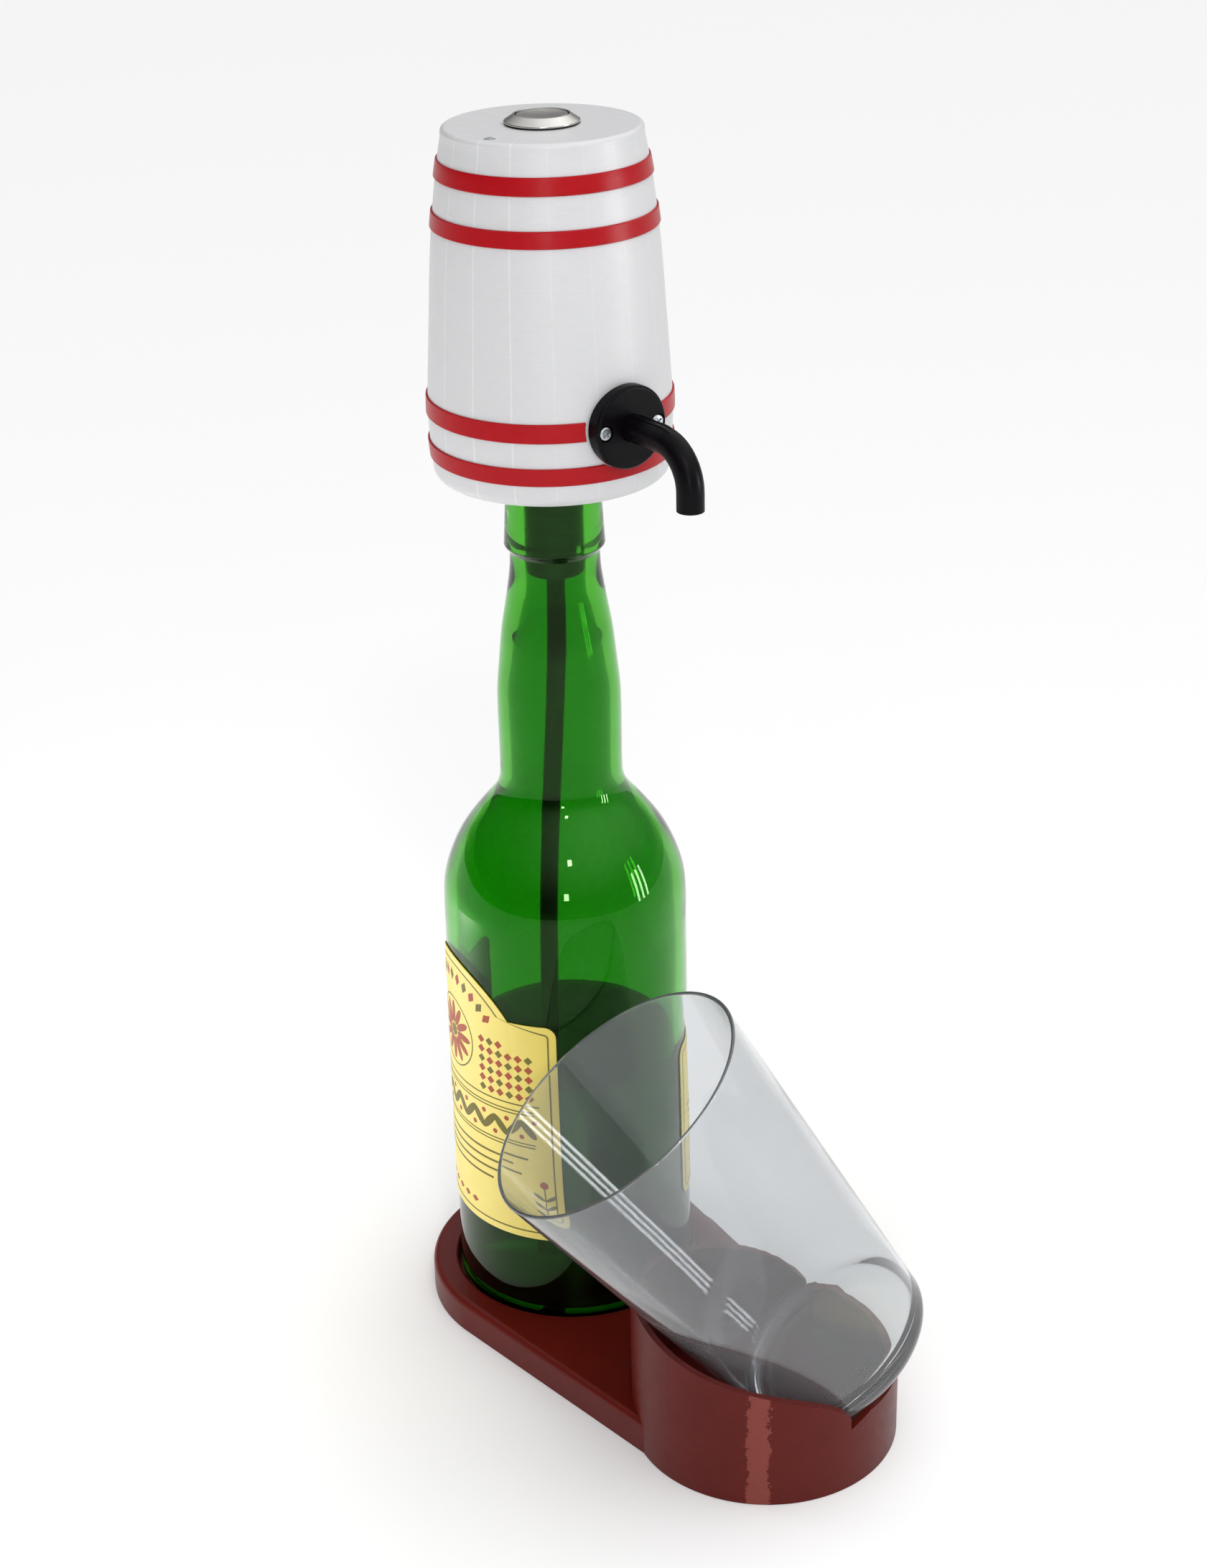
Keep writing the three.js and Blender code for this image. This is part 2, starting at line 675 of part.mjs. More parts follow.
function makeGlass() {
  const taper = (glassRimRadius - glassFootRadius) / (glassHeight - glassHeel);
  const innerFoot = glassFootRadius - glassWall + taper * (glassFloor + glassInnerHeel - glassHeel);
  const profile = [
    ...glassOutline(0, glassHeight),
    [glassRimRadius - glassWall, glassHeight],
    ...corner(innerFoot - glassInnerHeel, glassFloor + glassInnerHeel, glassInnerHeel, 0, -Math.PI / 2, 5),
    [0, glassFloor],
  ];
  add('cider_glass', turned(profile, glassSteps), 'clearGlass', lean);
}

function makeStopper() {
  const plug = mouthRadius - slideGap;
  const low = mouthLevel - plugLength;
  const profile = [
    [0, low], ...corner(plug - plugRound, low + plugRound, plugRound, -Math.PI / 2, 0, 4),
    [plug, mouthLevel + seatGap], [stopperFlangeRadius, mouthLevel + seatGap],
    [stopperFlangeRadius, stopperTop], [0, stopperTop],
  ];
  const bore = drum(shankRadius + slideGap, low - overrun, stopperTop + overrun, smallRoundSteps);
  add('bottle_stopper', cut(turned(profile, midRoundSteps), bore), 'blackRubber');
}

// Outline of the barrel, as points of radius and height above its foot
const barrelCurve = barrelShares.map(([height, radius]) => [radius * barrelBelly, height * barrelHeight]);

function barrelRadiusAt(height) {
  const next = barrelCurve.findIndex((point) => point[1] >= height);
  const [lowRadius, low] = barrelCurve[Math.max(next - 1, 0)];
  const [highRadius, high] = barrelCurve[Math.max(next, 1)];
  return THREE.MathUtils.mapLinear(height, low, high, lowRadius, highRadius);
}

function barrelOutside(grow) {
  const [footRadius, footHeight] = barrelCurve[0];
  const [topRadius] = barrelCurve[barrelCurve.length - 1];
  return turned([
    [0, -grow],
    ...corner(footRadius - barrelFootRound, footHeight, barrelFootRound + grow, -Math.PI / 2, 0)
      .slice(0, -1).map(([radius, height]) => [radius, Math.max(height, -grow)]),
    ...barrelCurve.map(([radius, height]) => [radius + grow, height]),
    ...corner(topRadius - barrelTopRound, barrelHeight - barrelTopRound, barrelTopRound + grow,
      0, Math.PI / 2).slice(1),
    [0, barrelHeight + grow],
  ]).translate(0, 0, barrelFoot);
}

// The spout's flange looks along +X from the barrel's side
function alongX(geometry) {
  return geometry.rotateY(Math.PI / 2).translate(0, 0, spoutLevel);
}

const coverScrewAngles = { cover_screw_left: coverScrewTurn, cover_screw_right: coverScrewTurn + Math.PI };

function makeBarrel() {
  const inner = barrelCurve
    .filter(([, height]) => height > coverThickness + seatGap && height < barrelHeight - barrelTopWall)
    .map(([radius, height]) => [radius - barrelWall, height]);
  const innerTop = barrelHeight - barrelTopWall;
  const cavity = turned([
    [0, coverThickness + seatGap], [inner[0][0], coverThickness + seatGap], ...inner,
    [barrelRadiusAt(innerTop - barrelTopRound) - barrelWall, innerTop - barrelTopRound / 2],
    [barrelRadiusAt(innerTop - barrelTopRound) - barrelWall - barrelTopRound / 2, innerTop], [0, innerTop],
  ]).translate(0, 0, barrelFoot);
  const mouth = drum(coverRadius + seatGap, barrelFoot - overrun, coverTop + seatGap + overrun / 2,
    roundSteps);
  const outside = barrelOutside(0);
  const bossLow = coverTop + seatGap;
  const bosses = Object.values(coverScrewAngles).map((angle) => join(
    drum(coverBossRadius, bossLow, bossLow + coverBossHeight).translate(coverScrewCircle, 0, 0),
    block(coverScrewCircle, barrelBelly, -coverBossRadius / 2, coverBossRadius / 2, bossLow,
      bossLow + coverBossHeight),
  ).rotateZ(chassisTurn + angle));
  const pad = alongX(drum(flangeRadius, spoutBossReach, barrelBelly, midRoundSteps));
  const solidBits = common(join(...bosses, pad), outside);
  const screwHoles = [-1, 1].map((side) =>
    alongX(drum(smallShankRadius + slideGap, spoutBossReach - overrun, flangeFace + overrun, holeSteps))
      .translate(0, side * flangeScrewSpread, 0));
  const hubHole = alongX(drum(flangeHubRadius + slideGap, spoutBossReach - overrun, flangeFace + overrun));
  const coverHoles = Object.values(coverScrewAngles).map((angle) =>
    drum(smallShankRadius + slideGap, coverTop - overrun, bossLow + smallScrewLength, holeSteps)
      .translate(coverScrewCircle, 0, 0).rotateZ(chassisTurn + angle));
  const buttonHole = drum(buttonThreadRadius + slideGap, barrelTop - 2 * barrelTopWall,
    barrelTop + overrun, midRoundSteps);
  const [ledX, ledY] = [ledPlace * Math.cos(ledTurn), ledPlace * Math.sin(ledTurn)];
  const ledHole = drum(ledRadius + slideGap / 2, barrelTop - 2 * barrelTopWall, barrelTop + overrun,
    smallRoundSteps)
    .translate(ledX, ledY, 0);
  const shell = cut(outside, cavity, mouth);
  add('barrel_shell', cut(join(shell, solidBits), hubHole, ...screwHoles, ...coverHoles, buttonHole,
    ledHole),
    'whitePrint');
}

function makeHoops() {
  const flangeRoom = alongX(drum(flangeRadius + seatGap, 0, flangeFace + overrun, midRoundSteps));
  for (const [name, shares] of Object.entries(hoopShares)) {
    const [low, high] = shares.map((share) => share * barrelHeight);
    const heights = [low, ...barrelCurve.map((point) => point[1]).filter((h) => h > low && h < high), high];
    const inside = heights.map((height) => [barrelRadiusAt(height) + hoopGap, height]);
    const outside = [low, high].map((height) => [barrelRadiusAt(height) + hoopProud, height]).reverse();
    add(name, cut(turned([...inside, ...outside]).translate(0, 0, barrelFoot), flangeRoom), 'redPrint');
  }
}

function makeButton() {
  const bezelLow = sealThickness + 2 * thinGap;
  const bezelTop = bezelLow + bezelHeight;
  const bore = buttonCapRadius + slideGap;
  const floorTop = -buttonFloorDepth;
  const floorLow = floorTop - buttonFloorThickness;
  const skirt = buttonThreadRadius - buttonSkirtWall;
  const guide = buttonStemRadius + slideGap;
  add('button_body', turned([
    [buttonThreadRadius, -buttonBodyDepth], [buttonThreadRadius, bezelLow], [bezelRadius, bezelLow],
    [bezelRadius, bezelLow + bezelEdge], [bezelTopRadius + bezelEdge / 2, bezelTop - bezelEdge / 2],
    [bezelTopRadius, bezelTop], [bore, bezelTop], [bore, floorTop], [guide, floorTop], [guide, floorLow],
    [skirt, floorLow], [skirt, -buttonBodyDepth],
  ], midRoundSteps).translate(0, 0, barrelTop), 'nickel');

  const capTop = bezelTop - thinGap;
  const capLow = capTop - buttonCapThickness;
  const discTop = floorLow - seatGap;
  const stemLow = discTop - contactDiscThickness - thinGap;
  add('button_cap', turned([
    [0, stemLow - stemHeadHeight], [stemHeadRadius, stemLow - stemHeadHeight], [stemHeadRadius, stemLow],
    [buttonStemRadius, stemLow], [buttonStemRadius, capLow], [buttonCapRadius, capLow],
    [buttonCapRadius, capTop - buttonCapDish / 2], [buttonCapRadius - buttonCapDish, capTop],
    [buttonCapRadius * 0.6, capTop - buttonCapDish / 2], [0, capTop - buttonCapDish],
  ], midRoundSteps).translate(0, 0, barrelTop), 'nickel');
  add('button_contact', ring(contactDiscRadius, buttonStemRadius + slideGap,
    discTop - contactDiscThickness, discTop)
    .translate(0, 0, barrelTop), 'brass');

  const wire = buttonSpringWire / 2;
  const springLow = floorTop + seatGap + wire;
  const springHigh = capLow - seatGap - wire;
  const curls = springSteps / curlSteps;
  class Coil extends THREE.Curve {
    getPoint(share, target = new THREE.Vector3()) {
      const angle = share * curls * 2 * Math.PI;
      const height = THREE.MathUtils.lerp(springLow, springHigh, share);
      return target.set(buttonSpringRadius * Math.cos(angle), buttonSpringRadius * Math.sin(angle), height);
    }
  }
  const coil = new Coil();
  const pitch = (springHigh - springLow) / curls;
  const points = coil.getSpacedPoints(springSteps);
  const apart = points.flatMap((a, i) => points.slice(i + 5).map((b) => a.distanceTo(b)));
  const leastGap = Math.min(...apart) - buttonSpringWire;
  console.log('button spring: pitch', pitch.toFixed(2), 'least gap', leastGap.toFixed(2));
  add('button_spring', along(coil, wire, 0, springSteps, springSides).translate(0, 0, barrelTop), 'steel');

  add('button_seal', ring(bezelRadius - thinGap, bezelRadius - thinGap - sealWidth, thinGap,
    thinGap + sealThickness,
    midRoundSteps).translate(0, 0, barrelTop), 'blackRubber');
  const nutTop = -barrelTopWall - thinGap;
  add('button_nut', cut(drum(nutAcrossCorners / 2, nutTop - nutThickness, nutTop, 6),
    drum(buttonThreadRadius + slideGap, nutTop - nutThickness - overrun, nutTop + overrun, midRoundSteps))
    .translate(0, 0, barrelTop), 'nickel');

  const padTop = discTop - contactDiscThickness - buttonTravel - thinGap;
  const insertTop = padTop - terminalPadHeight - thinGap;
  const insertLow = insertTop - insertThickness;
  const halfWidth = terminalWidth / 2;
  const halfThick = terminalThickness / 2;
  const slots = [-1, 1].map((side) => block(
    side * terminalSpread - halfThick - slideGap / 2, side * terminalSpread + halfThick + slideGap / 2,
    -halfWidth - slideGap / 2, halfWidth + slideGap / 2, insertLow - overrun, insertTop + overrun));
  add('button_base', cut(drum(skirt - slideGap, insertLow, insertTop, midRoundSteps), ...slots)
    .translate(0, 0, barrelTop), 'blackPlastic');
  for (const [name, side] of [['button_terminal_front', 1], ['button_terminal_rear', -1]])
    add(name, join(
      block(-halfThick, halfThick, -halfWidth, halfWidth, insertLow - terminalLength,
        padTop - terminalPadHeight / 2),
      drum(terminalPadRadius, insertTop + thinGap, padTop, holeSteps),
    ).translate(side * terminalSpread, 0, barrelTop), 'brass');
  return barrelTop + insertLow - terminalLength;
}

function makeStatusLight() {
  const [x, y] = [ledPlace * Math.cos(ledTurn), ledPlace * Math.sin(ledTurn)];
  const dome = corner(0, 0, ledRadius, 0, Math.PI / 2, 4).map(([radius, height]) =>
    [Math.max(radius, 0), (height * ledHeadHeight) / ledRadius]);
  dome[dome.length - 1][0] = 0;
  add('status_led', turned([[0, -ledBodyLength], [ledRadius, -ledBodyLength], ...dome], midRoundSteps)
    .translate(x, y, barrelTop), 'greyPlastic');
  return [x, y];
}

// Where the USB socket stands, in the chassis's frame
function usbPlace() {
  const right = -bayHalfWidth - railWidth + railLip;
  return new THREE.Vector2(right - slideGap - boardWidth / 2, boardStandoff + boardThickness + thinGap);
}

function makeSpout() {
  const grown = seatGap + gasketThickness + seatGap;
  const front = flangeFace - flangeBevel;
  const disc = turned([
    [0, 0], [flangeRadius, 0], [flangeRadius, front], [flangeRadius - flangeBevel, flangeFace],
      [0, flangeFace],
  ], roundSteps);
  const hub = drum(flangeHubRadius, flangeHubReach, flangeFace - flangeSocketDepth - seatGap,
    smallRoundSteps);
  const holes = [-1, 1].flatMap((side) => [
    drum(smallShankRadius + slideGap, spoutBossReach, flangeFace + overrun, holeSteps)
      .translate(0, side * flangeScrewSpread, 0),
    drum(smallHeadRadius + slideGap, flangeFace - smallHeadHeight, flangeFace + overrun, smallRoundSteps)
      .translate(0, side * flangeScrewSpread, 0),
  ]);
  const socket = drum(spoutRadius + slideGap / 2, flangeFace - flangeSocketDepth, flangeFace + overrun,
    midRoundSteps);
  const bore = drum(spoutBore - slideGap, flangeHubReach - overrun, flangeFace, midRoundSteps);
  const saddle = cut(alongX(disc), barrelOutside(grown));
  add('spout_flange', cut(join(saddle, alongX(hub)), alongX(socket), alongX(bore), ...holes.map(alongX)),
    'blackPlastic');

  const gasketDisc = alongX(drum(flangeRadius - gasketInset, 0, flangeFace, roundSteps));
  const gasketHoles = [-1, 1].map((side) =>
    alongX(drum(smallShankRadius + slideGap, 0, flangeFace + overrun, holeSteps))
      .translate(0, side * flangeScrewSpread, 0));
  const gasketBore = alongX(drum(flangeHubRadius + slideGap, 0, flangeFace + overrun, smallRoundSteps));
  const skin = cut(common(gasketDisc, barrelOutside(seatGap + gasketThickness)), barrelOutside(seatGap));
  add('flange_gasket', cut(skin, gasketBore, ...gasketHoles), 'blackRubber');

  const head = flangeFace - smallHeadHeight + thinGap;
  for (const [name, side] of [['flange_screw_left', 1], ['flange_screw_right', -1]])
    add(name, alongX(screw(smallHeadRadius, smallHeadHeight, smallShankRadius, smallScrewLength, true)
      .rotateZ(Math.PI / 5).translate(0, side * flangeScrewSpread, head)), 'zinc');

  const root = flangeFace - flangeSocketDepth + seatGap;
  const tipX = flangeFace + spoutRun;
  const route = new THREE.CurvePath();
  const bendStart = new THREE.Vector3(tipX - spoutBend, 0, spoutLevel);
  const bendEnd = new THREE.Vector3(tipX, 0, spoutLevel - spoutBend);
  route.add(new THREE.LineCurve3(new THREE.Vector3(root, 0, spoutLevel), bendStart));
  // a quarter circle as one cubic curve
  const arm = spoutBend * 0.5523;
  route.add(new THREE.CubicBezierCurve3(bendStart, new THREE.Vector3(bendStart.x + arm, 0, spoutLevel),
    new THREE.Vector3(tipX, 0, bendEnd.z + arm), bendEnd));
  route.add(new THREE.LineCurve3(bendEnd, new THREE.Vector3(tipX, 0, spoutLevel - spoutDrop)));
  add('spout_tube', along(route, spoutRadius, spoutBore, 12, 14), 'blackPlastic');

  const elbowEnd = spoutElbowPlace + spoutElbowLength / 2;
  const elbowStart = elbowEnd - spoutElbowLength;
  const body = alongX(drum(spoutElbowRadius, elbowStart, elbowEnd, smallRoundSteps));
  const hollow = alongX(drum(flangeHubRadius + slideGap, flangeHubReach - seatGap, elbowEnd + overrun,
    smallRoundSteps));
  const barbTop = spoutLevel - flangeHubRadius - slideGap;
  const barb = drum(barbRadius, spoutLevel - spoutElbowRadius - spoutBarbLength, barbTop, smallRoundSteps);
  const barbHole = drum(barbBore, spoutLevel - spoutElbowRadius - spoutBarbLength - overrun, spoutLevel,
    holeSteps);
  add('spout_elbow', cut(join(body, barb.translate(spoutElbowPlace, 0, 0)), hollow,
    barbHole.translate(spoutElbowPlace, 0, 0)), 'blackPlastic');
}

// Direction from the barrel's axis to the pump's inlet, and its distance
const inletPort = chassisPoint(-portSpread, pumpAxis.y, 0);
const outletPort = chassisPoint(portSpread, pumpAxis.y, 0);

function makeInlet() {
  const low = barrelFoot - shankLength;
  const socketTop = low + shankSocketLength;
  const barbLevel = coverTop + inletBarbHeight;
  const body = join(
    drum(shankRadius, low, coverTop + elbowBodyHeight, smallRoundSteps),
    drum(elbowCollarRadius, deck, deck + elbowCollarThickness, smallRoundSteps),
    drum(barbRadius, 0, inletBarbReach, smallRoundSteps).rotateY(Math.PI / 2)
      .rotateZ(Math.atan2(inletPort.y, inletPort.x)).translate(0, 0, barbLevel),
  );
  const holes = [
    drum(tubeRadius + slideGap, low - overrun, socketTop, smallRoundSteps),
    drum(barbBore, socketTop - overrun, barbLevel, holeSteps),
    drum(barbBore, 0, inletBarbReach + overrun, holeSteps).rotateY(Math.PI / 2)
      .rotateZ(Math.atan2(inletPort.y, inletPort.x)).translate(0, 0, barbLevel),
  ];
  add('inlet_elbow', cut(body, ...holes), 'blackPlastic');

  const tubeTop = socketTop - seatGap;
  const free = low - slideGap;
  const foot = bottleFoot + bottlePuntRise + bottleFloor + tubeFootClearance;
  const aside = (share, height) => new THREE.Vector3(
    share * tubeLean * Math.cos(tubeLeanTurn), share * tubeLean * Math.sin(tubeLeanTurn), height);
  const route = throughPoints([
    aside(0, tubeTop), aside(0, (tubeTop + free) / 2), aside(0, free),
    ...tubeShares.map(([down, share]) => aside(share, THREE.MathUtils.lerp(free, foot, down))),
  ]);
  add('dip_tube', along(route, tubeRadius, tubeBore, 16), 'blackPlastic');
}

function makeHoses() {
  const grip = portLength * 0.85;
  const upIntoPort = (port) => [
    new THREE.Vector3(port.x, port.y, portTip - seatGap),
    new THREE.Vector3(port.x, port.y, portTip + grip / 2),
    new THREE.Vector3(port.x, port.y, portTip + grip),
  ];
  const far = Math.hypot(inletPort.x, inletPort.y);
  const heading = inletPort.clone().setZ(0).normalize();
  const level = coverTop + inletBarbHeight;
  const rise = portTip - level;
  const spanStart = inletBarbReach + seatGap;
  const span = far - spanStart;
  const onHeading = (distance, height) => heading.clone().multiplyScalar(distance).setZ(height);
  const inletRoute = throughPoints([
    onHeading(shankRadius + seatGap + thinGap, level), onHeading((shankRadius + spanStart) / 2, level),
    onHeading(spanStart, level),
    onHeading(spanStart + span * 0.52, level + rise * 0.15),
      onHeading(spanStart + span * 0.9, level + rise * 0.5),
    ...upIntoPort(inletPort),
  ]);
  add('inlet_hose', along(inletRoute, hoseRadius, hoseBore, 14), 'siliconeHose');

  const barbTop = spoutLevel - spoutElbowRadius - seatGap;
  const barbLow = barbTop - spoutBarbLength;
  const lowest = deck + hoseRadius + slideGap;
  const end = new THREE.Vector3(spoutElbowPlace, 0, barbLow);
  const between = (share, height) => outletPort.clone().lerp(end, share).setZ(height);
  const drop = barbLow - lowest;
  const outletRoute = throughPoints([
    ...upIntoPort(outletPort).reverse(),
    between(0.05, lowest + drop * 0.85), between(0.26, lowest + drop * 0.2), between(0.55, lowest),
    between(0.82, lowest + drop * 0.22), between(0.97, lowest + drop * 0.65),
    end, new THREE.Vector3(spoutElbowPlace, 0, barbTop),
  ]);
  add('outlet_hose', along(outletRoute, hoseRadius, hoseBore, 19), 'siliconeHose');
}

function makeChassis() {
  const top = bayTop - bayOverPlate;
  const plate = block(-plateHalfWidth, plateHalfWidth, -plateThickness, 0,
    barrelFoot + coverThickness / 2, top);
  const arch = block(-plateArchHalfWidth, plateArchHalfWidth, -plateThickness - overrun, overrun, coverTop,
    coverTop + plateArchHeight);
  const clipLow = coverTop + clipPlace;
  const clip = cut(
    ring(motorRadius + slideGap + clipWall, motorRadius + slideGap, clipLow, clipLow + clipHeight,
      midRoundSteps),
    block(-pumpRadius - overrun, pumpRadius + overrun, -pumpRadius - clipWall - overrun, -clipOpening,
      clipLow - overrun, clipLow + clipHeight + overrun),
  ).translate(0, pumpAxis.y, 0);

  const bayFront = cellAxisY + bayLip;
  const inner = bayHalfWidth - bayWall;
  const bay = cut(
    block(-bayHalfWidth, bayHalfWidth, -plateThickness / 2, bayFront, bayLow, bayTop),
    block(-inner, inner, 0, bayFront + overrun, bayLow + bayWall, bayTop - bayWall),
  );

  const usb = usbPlace();
  const boardLow = coverTop + boardFoot;
  const railFront = boardStandoff + boardThickness + slideGap + railLip;
  const rails = [-1, 1].map((side) => {
    const middle = usb.x + side * (boardWidth / 2 + slideGap - railLip + railWidth / 2);
    return block(middle - railWidth / 2, middle + railWidth / 2, -plateThickness / 2, railFront, boardLow,
      boardLow + railHeight);
  });
  const boardRoom = block(usb.x - boardWidth / 2 - slideGap, usb.x + boardWidth / 2 + slideGap,
    boardStandoff - slideGap, boardStandoff + boardThickness + slideGap, boardLow - overrun,
    boardLow + railHeight + overrun);
  const usbHole = block(usb.x - usbWidth / 2 - slideGap, usb.x + usbWidth / 2 + slideGap, usb.y - slideGap,
    usb.y + usbThickness + slideGap, barrelFoot - overrun, coverTop + overrun / 2);

  const screwRooms = Object.values(coverScrewAngles).flatMap((angle) => [
    drum(smallShankRadius + slideGap, barrelFoot - overrun, coverTop + overrun, holeSteps),
    drum(smallHeadRadius + slideGap, barrelFoot - overrun, barrelFoot + smallHeadHeight + thinGap,
      smallRoundSteps),
  ].map((room) => room.translate(coverScrewCircle, 0, 0).rotateZ(angle)));
  const shankHole = drum(shankRadius + slideGap, barrelFoot - overrun, coverTop + overrun, smallRoundSteps);
  const standing = join(cut(join(plate, bay, ...rails), arch, boardRoom), clip);
  add('chassis', cut(join(standing, drum(coverRadius, barrelFoot, coverTop, roundSteps)), shankHole,
    usbHole,
    ...screwRooms), 'whitePrint', chassis);
  for (const [name, angle] of Object.entries(coverScrewAngles))
    add(name, screw(smallHeadRadius, smallHeadHeight, smallShankRadius, smallScrewLength).rotateX(Math.PI)
      .translate(coverScrewCircle, 0, barrelFoot + smallHeadHeight).rotateZ(angle), 'zinc', chassis);
}

function makePump() {
  const here = (geometry) => geometry.translate(pumpAxis.x, pumpAxis.y, 0);
  const screwHoles = (low, high) => [-1, 1].map((side) =>
    drum(pumpScrewRadius + slideGap, low, high, holeSteps).translate(side * pumpScrewCircle, 0, 0));
  const capTop = portCapLow + portCapThickness;
  const ports = [-1, 1].map((side) => drum(barbRadius, portTip, portCapLow + seatGap, smallRoundSteps)
    .translate(side * portSpread, 0, 0));
  const portBores = [-1, 1].map((side) => drum(barbBore, portTip - overrun, capTop + overrun, holeSteps)
    .translate(side * portSpread, 0, 0));
  add('pump_port_cap', here(cut(join(drum(pumpRadius, portCapLow, capTop, midRoundSteps), ...ports),
    ...portBores,
    ...screwHoles(portCapLow - overrun, capTop + overrun))), 'blackPlastic', chassis);

  const armTurns = [0, 1, 2].map((i) => (i * 2 * Math.PI) / 3 + Math.PI / 2);
  const cups = armTurns.map((angle) => drum(diaphragmCupRadius, diaphragmLow,
    pumpHeadLow + diaphragmCupHeight, smallRoundSteps)
    .translate(diaphragmCupPlace * Math.cos(angle), diaphragmCupPlace * Math.sin(angle), 0));
  const sheet = drum(pumpRadius - thinGap, diaphragmLow, diaphragmLow + diaphragmThickness, midRoundSteps);
  add('pump_diaphragm', here(cut(join(sheet, ...cups),
    ...screwHoles(diaphragmLow - overrun, diaphragmLow + overrun))),
    'blackRubber', chassis);

  const headTop = pumpHeadLow + pumpHeadHeight;
  const head = cut(
    drum(pumpRadius, pumpHeadLow, headTop, midRoundSteps),
    drum(pumpRadius - pumpHeadWall, pumpHeadLow - overrun, headTop - pumpHeadRoof, midRoundSteps),
    drum(motorBossRadius + slideGap, headTop - pumpHeadRoof - overrun, headTop + overrun, smallRoundSteps),
    ...screwHoles(pumpHeadLow - overrun, pumpHeadLow + smallScrewLength),
  );
  add('pump_head', here(head), 'greyPlastic', chassis);
  for (const [name, side] of [['pump_screw_left', -1], ['pump_screw_right', 1]])
    add(name, here(screw(pumpScrewHead, pumpScrewHeadHeight, pumpScrewRadius,
      portCapThickness + smallScrewLength)
      .rotateX(Math.PI).translate(side * pumpScrewCircle, 0, portCapLow - thinGap)), 'zinc', chassis);

  const yokeLow = pumpHeadLow + diaphragmCupHeight + thinGap;
  const arms = armTurns.map((angle) => block(0, diaphragmCupPlace + diaphragmCupRadius * 0.6,
    -yokeArmWidth / 2,
    yokeArmWidth / 2, yokeLow, yokeLow + yokeThickness).rotateZ(angle));
  const yoke = join(drum(yokeHubRadius, yokeLow, yokeLow + yokeHubHeight, smallRoundSteps), ...arms);
  const yokeHole = drum(wobbleSweep + thinGap, yokeLow + yokeThickness / 2,
    yokeLow + yokeHubHeight + overrun, smallRoundSteps);
  add('pump_yoke', here(cut(yoke, yokeHole)), 'greyPlastic', chassis);

  const hubLow = motorFace - motorShaftReach;
  const pinLow = yokeLow + yokeThickness / 2 + seatGap;
  const pinTop = pinLow + wobblePinLength;
  const pinAngle = Math.atan2(wobblePinOffset, pinTop - pinLow);
  const pin = (grow, extra) => drum(wobblePinRadius + grow, -extra, wobblePinLength + extra, holeSteps)
    .rotateY(pinAngle).translate(0, 0, pinLow);
  add('wobble_pin', here(pin(0, 0)), 'steel', chassis);
  const shaftRoom = drum(motorShaftRadius + thinGap, hubLow + hubHeight / 2, hubLow + hubHeight + overrun,
    smallRoundSteps);
  const pinRoom = common(pin(thinGap, overrun),
    drum(hubRadius, hubLow - overrun, hubLow + hubHeight / 2 - thinGap, smallRoundSteps));
  add('eccentric_hub', here(cut(drum(hubRadius, hubLow, hubLow + hubHeight, smallRoundSteps), shaftRoom,
    pinRoom)), 'greyPlastic',
    chassis);
  return { shaftLow: hubLow + hubHeight / 2 + thinGap, pinTop };
}

